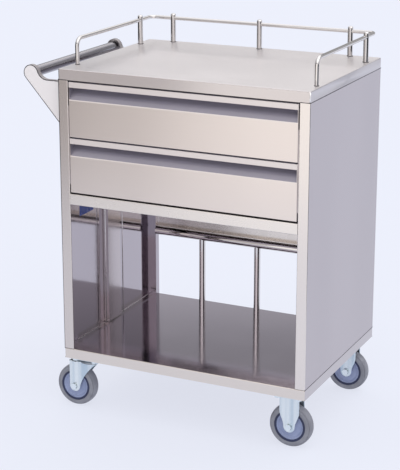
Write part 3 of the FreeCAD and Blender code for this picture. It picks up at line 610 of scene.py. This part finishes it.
def rim_drop(x, centre, half, heights):
    """How far the sheet falls back: a quarter ellipse, as wide as the curl, along its rim."""
    rise = eased((heights[:, None] - AXLE_HEIGHT) / CURL_RISE)
    curl = END_CURL + (CURL - END_CURL) * rise
    below = np.minimum(heights - AXLE_HEIGHT, 0)[:, None]
    beside = np.abs(x - centre) - (half - curl)
    around = np.hypot(x - centre, below) - (END_RADIUS - END_CURL)
    beyond = np.clip(np.where(below < 0, around, beside) / curl, 0, 1)
    return CURL_DEPTH * (1 - np.sqrt(np.clip(1 - beyond ** 2, 0, 1)))


def curled_leg(heights, left, right, y_outer, side, crease=None):
    """Grid of a leg: x runs from edge to edge, closer set near them, and y falls back at its rim.

    crease is an x. The sheet beyond it is set back a little, by a smooth step.
    """
    span = np.sin(np.linspace(-np.pi / 2, np.pi / 2, LEG_COLUMNS))
    centre = (left + right)[:, None] / 2
    half = (right - left)[:, None] / 2
    x = centre + half * span[None, :]
    drop = rim_drop(x, centre, half, heights)
    if crease is not None:
        drop = drop + CREASE_STEP * eased((x - crease) / CREASE_WIDE + 0.5)
    z = np.repeat(heights[:, None], LEG_COLUMNS, axis=1)
    skins = []
    for depth in (0.0, SHEET):
        inner_half = np.maximum(half - depth, THINNEST)
        skin_x = centre + inner_half * span[None, :]
        skins.append(np.stack([skin_x, y_outer - side * (drop + depth), z], axis=-1))
    loop = np.concatenate([skins[0], skins[1][:, ::-1]], axis=1)
    first = np.repeat(loop[:1].mean(axis=1, keepdims=True), loop.shape[1], axis=1)
    last = np.repeat(loop[-1:].mean(axis=1, keepdims=True), loop.shape[1], axis=1)
    return np.concatenate([first, loop, last])


def slab(outline, low, high, edge=0.5 * MM):
    """Grid of a flat plate: the outline at low and high, its rims drawn in by a small edge."""
    centre = outline.mean(axis=0)
    inset = centre + (outline - centre) * (1 - edge / np.abs(outline - centre).max())
    point = np.repeat(centre[None, :], len(outline), axis=0)
    rings = [(point, low), (inset, low), (outline, low + edge), (outline, high - edge),
             (inset, high), (point, high)]
    return np.stack([np.column_stack([ring, np.full(len(ring), z)]) for ring, z in rings])


def rounded_rectangle(x_low, x_high, y_low, y_high, corner):
    """Outline of a plate: a rectangle with a bend of one size at each corner."""
    corners = [(x_low, y_low), (x_high, y_low), (x_high, y_high), (x_low, y_high)]
    return rounded(corners, [corner] * 4, steps=7)


# %% Fork levels
CROWN_TOP = 113.0 * MM
PLATE_TOP = 128.0 * MM
PLATE_LOW = 125.5 * MM
RACE_LOW = 112.0 * MM
LEG_FACE = 18.5 * MM
TIP_HALF = 0.3 * MM


def leg_heights(top):
    """Heights of a leg's rows: even steps down to the axle, then its end radius times a sine."""
    straight = np.linspace(top, AXLE_HEIGHT, STRAIGHT_ROWS)
    angle = np.linspace(0, np.pi / 2, END_ROWS + 1)[1:]
    return np.concatenate([straight, AXLE_HEIGHT - END_RADIUS * np.sin(angle)])


def end_half(heights):
    """Half width of a leg's round end: root of radius squared less depth below the axle squared."""
    below = np.clip(AXLE_HEIGHT - heights, 0, END_RADIUS)
    return np.sqrt(np.clip(END_RADIUS ** 2 - below ** 2, TIP_HALF ** 2, None))


# %% Swivel fork
CROWN_CORNER = 5.0 * MM
CREASE_AT = 9.0 * MM
TRAIL = 34.0 * MM
RACE_CUP = np.array([(1.0, 0.0), (24.0, 0.0), (24.0, 3.0), (22.5, 5.0), (20.0, 5.6),
                     (1.0, 5.6)]) * MM


def swivel_fork(corner):
    """Plumb left edge. The right edge leans out by 0.35 of the height's share and 0.65 of its
    square, from the round end up to the crown.
    """
    low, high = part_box(corner + "_swivel_fork")
    x_left = low[0]
    x_right = high[0]
    y_mid = (low[1] + high[1]) / 2
    axle_x = wheel_centres[corner][0]
    heights = leg_heights(CROWN_TOP)
    share = np.clip((heights - AXLE_HEIGHT) / (CROWN_TOP - AXLE_HEIGHT), 0, 1)
    end = end_half(heights)
    left = np.where(heights < AXLE_HEIGHT, axle_x - end, axle_x - END_RADIUS)
    reach = (x_right - axle_x - END_RADIUS) * (0.35 * share + 0.65 * share ** 2)
    right = axle_x + end + reach
    legs = [curled_leg(heights, left, right, y_mid + side * LEG_FACE, side, axle_x + CREASE_AT)
            for side in (-1, 1)]
    pressed = outward(surface(corner + "_fork_legs", legs, False, True))
    outline = rounded_rectangle(x_left, x_right, y_mid - LEG_FACE, y_mid + LEG_FACE, CROWN_CORNER)
    crown = outward(surface(corner + "_fork_crown", [slab(outline, CROWN_TOP - SHEET, CROWN_TOP)],
                            False, True))
    cup = turned_about_z(RACE_CUP, (axle_x + TRAIL, y_mid, RACE_LOW))
    race = outward(surface(corner + "_fork_race", [cup], True, True))
    for part, finish in ((pressed, "leg"), (crown, "zinc"), (race, "washer")):
        part.data.materials.append(FINISHES[finish])
        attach(part, corner + "_fork")
        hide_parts(corner + "_swivel_fork")


# %% Rigid fork
RIGID_HALF = 23.5 * MM
RIGID_SHOULDER = 86.0 * MM
FLARE = 4.0 * MM
FLARE_FROM = 112.0 * MM
FLARE_TALL = 13.0 * MM
PLATE_CORNER = 9.0 * MM


def rigid_fork(corner):
    """Tongue: a flare that grows with the square of height under the plate, then parallel sides
    down to a shoulder, then half a cosine wave that narrows to the round end.
    """
    low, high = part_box(corner + "_rigid_fork")
    x_mid = (low[0] + high[0]) / 2
    y_mid = (low[1] + high[1]) / 2
    heights = leg_heights(PLATE_LOW)
    share = np.clip((heights - AXLE_HEIGHT) / (RIGID_SHOULDER - AXLE_HEIGHT), 0, 1)
    swell = (RIGID_HALF - END_RADIUS) * (1 - np.cos(np.pi * share)) / 2
    flare = FLARE * np.clip((heights - FLARE_FROM) / FLARE_TALL, 0, 1) ** 2
    half = end_half(heights) + swell + flare
    legs = [curled_leg(heights, x_mid - half, x_mid + half, y_mid + side * LEG_FACE, side)
            for side in (-1, 1)]
    pressed = outward(surface(corner + "_fork_legs", legs, False, True))
    reach = (high[0] - low[0]) / 2
    square = rounded_rectangle(x_mid - reach, x_mid + reach, y_mid - reach, y_mid + reach,
                               PLATE_CORNER)
    plate = outward(surface(corner + "_fork_plate", [slab(square, PLATE_LOW, PLATE_TOP)],
                            False, True))
    for part, finish in ((pressed, "leg"), (plate, "zinc")):
        part.data.materials.append(FINISHES[finish])
        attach(part, "cabinet")
        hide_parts(corner + "_rigid_fork")


for corner in ("front_left", "rear_left"):
    swivel_fork(corner)
for corner in ("front_right", "rear_right"):
    rigid_fork(corner)
print("forks pressed: 2 swivel, 2 rigid")

# %% [markdown]
# ## Axle bolts and collars
# A hexagon bolt on a washer holds each axle. In polar form a hexagon is a radius that depends on
# the angle, so the head is a turned profile whose radius is multiplied by that function, and its
# top corners are chamfered as a real head's are. Where rail, posts and bars enter a sheet, a small
# collar closes the hole, and its near black colour paints the shadow round the upright.


# %% Bolts
WASHER = np.array([(0.2, 0.0), (6.9, 0.0), (7.2, 0.3), (7.2, 0.8), (6.9, 1.0), (0.2, 1.0)]) * MM
HEAD = np.array([(0.2, 1.0), (4.8, 1.0), (5.0, 1.3), (5.0, 3.7), (4.3, 4.3), (2.8, 4.4),
                 (2.4, 4.0), (0.2, 3.9)]) * MM
BOLT_TURNS = 48
HEX_FROM = 4.0 * MM
SEAT_GAP = 0.1 * MM


def bolt_grid(profile, centre, side, hexagonal):
    """Profile of (radius, height) turned about Y. A hexagon's radius is divided by the cosine of
    the angle to the nearest flat's middle, and only where the profile is wide.
    """
    angle = np.linspace(0, 2 * np.pi, BOLT_TURNS, endpoint=False)[:, None]
    to_flat = (angle + np.pi / 6) % (np.pi / 3) - np.pi / 6
    shape = 1 / np.cos(to_flat) if hexagonal else np.ones_like(angle)
    radius = profile[None, :, 0] * np.where(profile[None, :, 0] > HEX_FROM, shape, 1)
    x = centre[0] + radius * np.cos(angle)
    z = centre[2] + radius * np.sin(angle)
    y = centre[1] + side * profile[None, :, 1] + 0 * angle
    return np.stack([x, y, z], axis=-1)


def axle_bolts(corner):
    """Washer and head on both sides of a caster."""
    centre = wheel_centres[corner]
    body = corner + "_fork" if corner.endswith("left") else "cabinet"
    for part, profile, finish, hexagonal in (("washer", WASHER, "washer", False),
                                             ("bolt_head", HEAD, "zinc", True)):
        grids = []
        for side in (-1, 1):
            seat = (centre[0], centre[1] + side * (LEG_FACE + SEAT_GAP), centre[2])
            grids.append(bolt_grid(profile, seat, side, hexagonal))
        piece = outward(surface(f"{corner}_{part}", grids, True, True))
        piece.data.materials.append(FINISHES[finish])
        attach(piece, body)


for corner in CORNERS:
    axle_bolts(corner)

# %% Collars
tray_low, tray_high = [np.array(v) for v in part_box("top_tray")]
base_low, base_high = [np.array(v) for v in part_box("base_shelf")]
LEFT_X, RIGHT_X = base_low[0], base_high[0]
FRONT_Y, REAR_Y = base_low[1], base_high[1]
STANCHIONS = [(72.0, 427.4), (300.0, 427.4), (528.0, 427.4), (12.6, 368.4), (587.4, 368.4)]
RAIL_FEET = [(12.6, 65.0), (587.4, 65.0)]
STANCHION_RADIUS = 6.2
ROD_RADIUS = 4.5


def collar(place, radius, level):
    """Low ring round an upright: an inner wall, a sloped top and an outer wall."""
    ring = np.array([(radius - 0.4, 0.0), (radius + 1.2, 0.0), (radius + 1.0, 0.7),
                     (radius + 0.3, 1.1), (radius - 0.4, 1.1)]) * MM
    centre = (LEFT_X + place[0] * MM, FRONT_Y + place[1] * MM, level)
    return turned_about_z(ring, centre, turns=28)


rings = [collar(place, STANCHION_RADIUS, tray_high[2]) for place in STANCHIONS]
rings += [collar(place, ROD_RADIUS, tray_high[2]) for place in RAIL_FEET]
collars = outward(surface("upright_collars", rings, True, True))
# The collars' near black colour is painted shadow round each upright.
collars.data.materials.append(FINISHES["seam"])
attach(collars, "cabinet")
print("bolts on", len(CORNERS), "axles,", len(rings), "collars")

# %% [markdown]
# ## Seams
# Where two folded sheets meet, the gap between them reads as a fine dark line, and it draws the
# cart's outline. A thin bead fills each gap, standing a few tenths of a millimetre proud, and its
# near black colour is the gap's painted shadow. A bright bead stands for a tight bend, and its near
# white colour paints the highlight that the bend catches along its whole length: two on the left
# stiffener and one at the tray's folded corner. At the foot of each panel a light weld bead closes
# the inner corner.


# %% Beads along edges
BEAD_TURNS = 12
RIPPLE_ROWS = 60
RIPPLE = 2.2 * MM


def bead(name, start, end, wide, deep, finish, waves=0.0):
    """An ellipse of the given width and depth carried along a straight line.

    waves swells it by that share of a sine along its length, as a weld's ripples do.
    """
    start = np.array(start, dtype=float)
    end = np.array(end, dtype=float)
    along = end - start
    length = np.linalg.norm(along)
    along /= length
    helper = np.array([0.0, 0.0, 1.0]) if abs(along[2]) < 0.9 else np.array([0.0, 1.0, 0.0])
    across = np.cross(along, helper)
    across /= np.linalg.norm(across)
    up = np.cross(across, along)
    t = np.linspace(0, 1, RIPPLE_ROWS if waves else 2)[:, None]
    angle = np.linspace(0, 2 * np.pi, BEAD_TURNS, endpoint=False)[None, :]
    swell = 1 + waves * np.sin(t * length / RIPPLE)
    side = swell * deep / 2 * np.cos(angle)
    rise = swell * wide / 2 * np.sin(angle)
    line = start[None, None, :] + t[:, :, None] * (end - start)[None, None, :]
    body = line + side[:, :, None] * across + rise[:, :, None] * up
    ends = [np.repeat(point[None, None, :], BEAD_TURNS, axis=1) for point in (start, end)]
    piece = outward(surface(name, [np.concatenate([ends[0], body, ends[1]])], False, True))
    piece.data.materials.append(FINISHES[finish])
    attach(piece, "cabinet")


# %% Dark seams
UNDER_TRAY = tray_low[2]
ABOVE_BASE = base_high[2]
SEAM_WIDE = 2.2 * MM
SEAM_PROUD = 0.3 * MM
SEAM_DEEP = 1.6 * MM
SINK = SEAM_DEEP / 2 - SEAM_PROUD
POST_WIDE = 24.0 * MM
CORNER_BACK = 0.6 * MM
FINE = 0.5
print("seam heights", round(UNDER_TRAY, 4), round(ABOVE_BASE, 4))

SEAMS = {
    "tray_seam_right": ((RIGHT_X - SINK, FRONT_Y, UNDER_TRAY),
                        (RIGHT_X - SINK, REAR_Y, UNDER_TRAY)),
    "tray_seam_left": ((LEFT_X + SINK, FRONT_Y, UNDER_TRAY), (LEFT_X + SINK, REAR_Y, UNDER_TRAY)),
    "base_seam_right": ((RIGHT_X - SINK, FRONT_Y, ABOVE_BASE),
                        (RIGHT_X - SINK, REAR_Y, ABOVE_BASE)),
    "base_seam_left": ((LEFT_X + SINK, FRONT_Y, ABOVE_BASE), (LEFT_X + SINK, REAR_Y, ABOVE_BASE)),
    "tray_seam_rear": ((LEFT_X, REAR_Y - SINK, UNDER_TRAY), (RIGHT_X, REAR_Y - SINK, UNDER_TRAY)),
    "tray_seam_front_left": ((LEFT_X, FRONT_Y + SINK, UNDER_TRAY),
                             (LEFT_X + POST_WIDE, FRONT_Y + SINK, UNDER_TRAY)),
    "tray_seam_front_right": ((RIGHT_X - POST_WIDE, FRONT_Y + SINK, UNDER_TRAY),
                              (RIGHT_X, FRONT_Y + SINK, UNDER_TRAY)),
    "base_seam_front_left": ((LEFT_X, FRONT_Y + SINK, ABOVE_BASE),
                             (LEFT_X + POST_WIDE, FRONT_Y + SINK, ABOVE_BASE)),
    "base_seam_front_right": ((RIGHT_X - POST_WIDE, FRONT_Y + SINK, ABOVE_BASE),
                              (RIGHT_X, FRONT_Y + SINK, ABOVE_BASE)),
    "corner_line_left": ((LEFT_X + SINK, FRONT_Y + CORNER_BACK, ABOVE_BASE),
                         (LEFT_X + SINK, FRONT_Y + CORNER_BACK, UNDER_TRAY)),
}
FINE_SEAMS = ("base_seam_front", "corner_line")
for name, (start, end) in SEAMS.items():
    width = SEAM_WIDE * (FINE if name.startswith(FINE_SEAMS) else 1.0)
    bead(name, start, end, width, SEAM_DEEP, "seam")
print("seams:", len(SEAMS))

# %% Bright bends
# Near white beads that paint the highlight along each tight bend.
BEND_IN = 0.9 * MM
BEND_SHORT = 2.0 * MM
BEND_ROUND = 2.4 * MM
FOLD_IN = 1.1 * MM
FOLD_SHORT = 1.5 * MM
FOLD_ROUND = 3.0 * MM

stiff_low, stiff_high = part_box("left_stiffener")
bend_x = stiff_high[0] - BEND_IN
for name, y in (("stiffener_bend_near", stiff_low[1] + BEND_IN),
                ("stiffener_bend_far", stiff_high[1] - BEND_IN)):
    bead(name, (bend_x, y, stiff_low[2] + BEND_SHORT), (bend_x, y, stiff_high[2] - BEND_SHORT),
         BEND_ROUND, BEND_ROUND, "bend")
fold_x, fold_y = RIGHT_X - FOLD_IN, tray_low[1] + FOLD_IN
bead("tray_corner_fold", (fold_x, fold_y, UNDER_TRAY + FOLD_SHORT),
     (fold_x, fold_y, tray_high[2] - FOLD_SHORT), FOLD_ROUND, FOLD_ROUND, "bend")
print("stiffener bend at x", round(bend_x, 4), "tray fold at x", round(fold_x, 4))

# %% Foot welds
WELD_IN = 2.0 * MM
WELD_FRONT = 26.0 * MM
WELD_REAR = 24.0 * MM
WELD_UP = 0.4 * MM
WELD_ROUND = 2.6 * MM
WELD_WAVES = 0.12

weld_z = ABOVE_BASE + WELD_UP
for name, x in (("foot_weld_left", LEFT_X + WELD_IN), ("foot_weld_right", RIGHT_X - WELD_IN)):
    bead(name, (x, FRONT_Y + WELD_FRONT, weld_z), (x, REAR_Y - WELD_REAR, weld_z), WELD_ROUND,
         WELD_ROUND, "weld", waves=WELD_WAVES)
print("welds at height", round(weld_z, 4))

# %% [markdown]
# ## Bracket rims
# Each handle bracket is a sheet whose edge is rolled over, so its outline is a round bead: along
# the top, down the neck, round the eye that holds the grip, and down the slanting edge to the
# panel. The bead's near black colour is painted shade along the rolled hem. The path is two arcs
# and two straight runs, worked out from the two circles that touch.

# %% Rim path
EYE = np.array([-83.5, 790.0])
EYE_RADIUS = 18.5
NECK_RADIUS = 25.0
BRACKET_TOP = 777.5
BRACKET_FOOT = 668.0
NECK_POINTS = 14
EYE_POINTS = 40


def rim_path():
    """Outline in the bracket's plane: top run, neck arc, eye arc, slant.

    A point of an arc is its centre plus its radius times (cos, sin). The neck's circle touches
    the top run and the eye's circle, and the slant leaves the eye where a line to the foot does.
    """
    rise = BRACKET_TOP + NECK_RADIUS - EYE[1]
    neck = np.array([EYE[0] + np.sqrt((EYE_RADIUS + NECK_RADIUS) ** 2 - rise ** 2), EYE[1] + rise])
    meet = np.arctan2(rise, neck[0] - EYE[0])
    reach = np.array([0.0, BRACKET_FOOT]) - EYE
    leave = np.arctan2(reach[1], reach[0]) - np.arccos(EYE_RADIUS / np.hypot(*reach)) + 2 * np.pi
    neck_angle = np.linspace(1.5 * np.pi, np.pi + meet, NECK_POINTS)
    eye_angle = np.linspace(meet, leave, EYE_POINTS)
    neck_arc = neck + NECK_RADIUS * np.column_stack([np.cos(neck_angle), np.sin(neck_angle)])
    eye_arc = EYE + EYE_RADIUS * np.column_stack([np.cos(eye_angle), np.sin(eye_angle)])
    corner = np.array([[-1.0, BRACKET_TOP]])
    foot = np.array([[-1.0, BRACKET_FOOT + 1.5]])
    return np.concatenate([corner, neck_arc, eye_arc[1:], foot]) * MM


# %% Rims
RIM_RADIUS = 1.1 * MM
RIM_IN = 0.75
RIM_BACK = 0.6


def bracket_rim(name, y):
    """Round bead carried along the rim path in an upright plane, three quarters of its radius in.

    A point of it is the path's, plus the inward normal and the Y axis times the radius by an
    angle's cosine and sine.
    """
    path = rim_path()
    along = np.gradient(path, axis=0)
    along /= np.linalg.norm(along, axis=1)[:, None]
    normal = np.column_stack([-along[:, 1], along[:, 0]])
    angle = np.linspace(0, 2 * np.pi, BEAD_TURNS, endpoint=False)[None, :]
    inward = RIM_RADIUS * (np.cos(angle) + RIM_IN)
    x = LEFT_X + path[:, :1] + inward * normal[:, :1]
    z = path[:, 1:] + inward * normal[:, 1:]
    depth = y + RIM_RADIUS * np.sin(angle) + 0 * path[:, :1]
    body = np.stack([x, depth, z], axis=-1)
    caps = [np.repeat(body[k].mean(axis=0)[None, None, :], BEAD_TURNS, axis=1) for k in (0, -1)]
    piece = outward(surface(name, [np.concatenate([caps[0], body, caps[1]])], False, True))
    piece.data.materials.append(FINISHES["rim"])
    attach(piece, "cabinet")


_, sheet_front, sheet_rear = OUTER_SHEETS
bracket_rim("bracket_rim_front", sheet_front + RIM_BACK * RIM_RADIUS)
bracket_rim("bracket_rim_rear", sheet_rear - RIM_BACK * RIM_RADIUS)
print("rim path points", len(rim_path()))

# %% [markdown]
# ## Camera and light
# The cart is seen from its right front, a little above the work surface, with a long lens. A
# bright sky and a soft sun give the even studio light. The floor is dark by itself and glows, so
# that shadows on it stay pale. Low down the sky is grey, with a lighter ring and a darker one
# above it, and it is bright overhead: polished steel needs more than one tone to mirror.

# %% Floor
FLOOR_HALF = 40.0
FLOOR_BASE = (0.15, 0.155, 0.17, 1)
FLOOR_TONE = (0.84, 0.865, 0.965, 1)
FLOOR_GLOW = 0.79
places = np.linspace(-FLOOR_HALF, FLOOR_HALF, 3)
floor_x, floor_y = np.meshgrid(places, places, indexing="xy")
floor_grid = np.stack([floor_x, floor_y, np.zeros_like(floor_x)], axis=-1)
floor = surface("studio_floor", [floor_grid])
floor_material, _, floor_shader, _ = new_material("studio_floor")
floor_shader.inputs["Base Color"].default_value = FLOOR_BASE
floor_shader.inputs["Roughness"].default_value = 1.0
floor_shader.inputs["Specular IOR Level"].default_value = 0.0
floor_shader.inputs["Emission Color"].default_value = FLOOR_TONE
floor_shader.inputs["Emission Strength"].default_value = FLOOR_GLOW
floor.data.materials.append(floor_material)
print("floor spans", 2 * FLOOR_HALF, "m")

# %% Sky
SKY_STEPS = ((0.00, 0.46), (0.20, 0.40), (0.31, 0.62), (0.37, 0.30), (0.58, 1.25), (1.00, 1.65))
BLUER = 1.03
LIT_WAY = Vector((0.75, -0.66, 0.0)).normalized()
LIT_GAIN = 2.1
DIM_WAY = Vector((-0.45, -0.50, 0.74)).normalized()
DIM_GAIN = 0.70


def toward(tree, direction, way, start, end, gain):
    """Gain that goes smoothly from 1 to its full value as the direction turns to a way.

    The dot product of the two is taken from start to end by a smooth step.
    """
    turned = add(tree, "ShaderNodeVectorMath", {0: direction, 1: way}, operation="DOT_PRODUCT")
    ranged = add(tree, "ShaderNodeMapRange",
                 {"Value": turned.outputs["Value"], "From Min": start, "From Max": end,
                  "To Min": 1.0, "To Max": gain}, interpolation_type="SMOOTHSTEP")
    return ranged.outputs[0]


def make_sky():
    """World by direction: steps of grey by height, times two gains.

    Low down it is brighter towards the right front, and high up it is dimmer at the front left.
    """
    world = bpy.data.worlds.new("studio_sky")
    bpy.context.scene.world = world
    world.use_nodes = True
    tree = world.node_tree
    direction = add(tree, "ShaderNodeTexCoord").outputs["Generated"]
    height = add(tree, "ShaderNodeSeparateXYZ", {0: direction}).outputs["Z"]
    ramp = add(tree, "ShaderNodeValToRGB", {"Fac": height})
    ramp.color_ramp.interpolation = "EASE"
    while len(ramp.color_ramp.elements) < len(SKY_STEPS):
        ramp.color_ramp.elements.new(0.5)
    for element, (place, value) in zip(ramp.color_ramp.elements, SKY_STEPS):
        element.position = place
        element.color = (value, value, value * BLUER, 1)
    lit = toward(tree, direction, LIT_WAY, -0.3, 0.8, LIT_GAIN)
    low = add(tree, "ShaderNodeMapRange", {"Value": height, "From Min": 0.3, "From Max": 0.6,
              "To Min": 1.0, "To Max": 0.0})
    gain = add(tree, "ShaderNodeMix", {0: low.outputs[0], 2: 1.0, 3: lit})
    dim = toward(tree, direction, DIM_WAY, 0.50, 0.84, DIM_GAIN)
    strength = maths(tree, "MULTIPLY", gain.outputs[0], dim)
    tree.links.new(ramp.outputs["Color"], tree.nodes["Background"].inputs["Color"])
    tree.links.new(strength, tree.nodes["Background"].inputs["Strength"])


def add_sun(name, direction, strength, angle):
    """Soft sun shining along a direction."""
    light = bpy.data.lights.new(name, "SUN")
    light.energy = strength
    light.angle = angle
    lamp = bpy.data.objects.new(name, light)
    lamp.rotation_euler = Vector(direction).to_track_quat("-Z", "Y").to_euler()
    bpy.context.collection.objects.link(lamp)


make_sky()
add_sun("key_sun", (-0.35, 0.35, -1.0), 0.5, 1.2)
print("sky steps:", len(SKY_STEPS))

# %% [markdown]
# ## Cards
# Polished steel shows only what stands round it, so a photographer of metal places cards: a white
# one gives a broad highlight, and a black one a shade. A white and a warm, duller one stand in
# front of the cart, and a black one at each side. Another white one hangs high behind it, where
# the work surface mirrors it and the shelf doesn't. The camera doesn't see them, and they cast
# no shadow.

# %% Card helpers
CARD_BASE = (0.01, 0.01, 0.01, 1)
CARD_LIFT = 2.0 * MM


def dress_card(card, name, colour, glow):
    """Glowing card that only glossy rays see."""
    material, _, shader, _ = new_material(name)
    shader.inputs["Base Color"].default_value = CARD_BASE
    shader.inputs["Specular IOR Level"].default_value = 0.0
    shader.inputs["Emission Color"].default_value = colour
    shader.inputs["Emission Strength"].default_value = glow
    card.data.materials.append(material)
    card.visible_camera = False
    card.visible_shadow = False
    card.visible_diffuse = False


def add_card(name, left, right, low, high, colour, glow):
    """Upright card between two (x, y) points and two heights, lifted a little off the floor."""
    x = np.array([[left[0], right[0]], [left[0], right[0]]])
    y = np.array([[left[1], right[1]], [left[1], right[1]]])
    z = np.array([[low, low], [high, high]]) + CARD_LIFT
    card = surface(name, [np.stack([x, y, z], axis=-1)])
    dress_card(card, name, colour, glow)


# %% White, warm and black cards
CARDS = {
    "white_card_front": ((-0.80, -2.0), (1.6, -2.0), 0.0, 1.5, (1.0, 0.97, 0.95, 1), 1.2),
    "black_card_left": ((-1.5, 1.8), (-1.5, -2.0), 0.0, 1.0, (1.0, 0.97, 1.0, 1), 0.05),
    "black_card_right": ((1.3, -0.8), (1.3, 0.7), 0.0, 1.0, (0.9, 0.97, 1.1, 1), 0.06),
    "white_card_back": ((-2.1, 3.0), (-0.4, 3.0), 2.1, 4.4, (1.0, 0.98, 0.97, 1), 1.42),
    "warm_card_left": ((-1.75, -2.0), (-0.80, -2.0), 0.0, 1.5, (1.0, 0.94, 0.92, 1), 0.62),
}
for name, plan in CARDS.items():
    add_card(name, *plan)
print("cards:", sorted(CARDS))

# %% Camera
CAMERA_PLACE = Vector((1.456, -3.052, 1.4274))
CAMERA_TURN = 25.63
CAMERA_DIP = 15.41
IMAGE_LONG = 470.0
FOCAL = 1509.3
SENSOR = 36.0
RISE = 40.0

camera_data = bpy.data.cameras.new("camera")
camera_data.sensor_width = SENSOR
camera_data.lens = FOCAL * SENSOR / IMAGE_LONG
camera_data.shift_y = -RISE / IMAGE_LONG
camera = bpy.data.objects.new("camera", camera_data)
camera.location = CAMERA_PLACE
camera.rotation_euler = (np.radians(90 - CAMERA_DIP), 0, np.radians(CAMERA_TURN))
bpy.context.collection.objects.link(camera)
bpy.context.scene.camera = camera
bpy.context.scene.view_settings.view_transform = "Standard"
print("lens", round(camera_data.lens, 1), "mm")
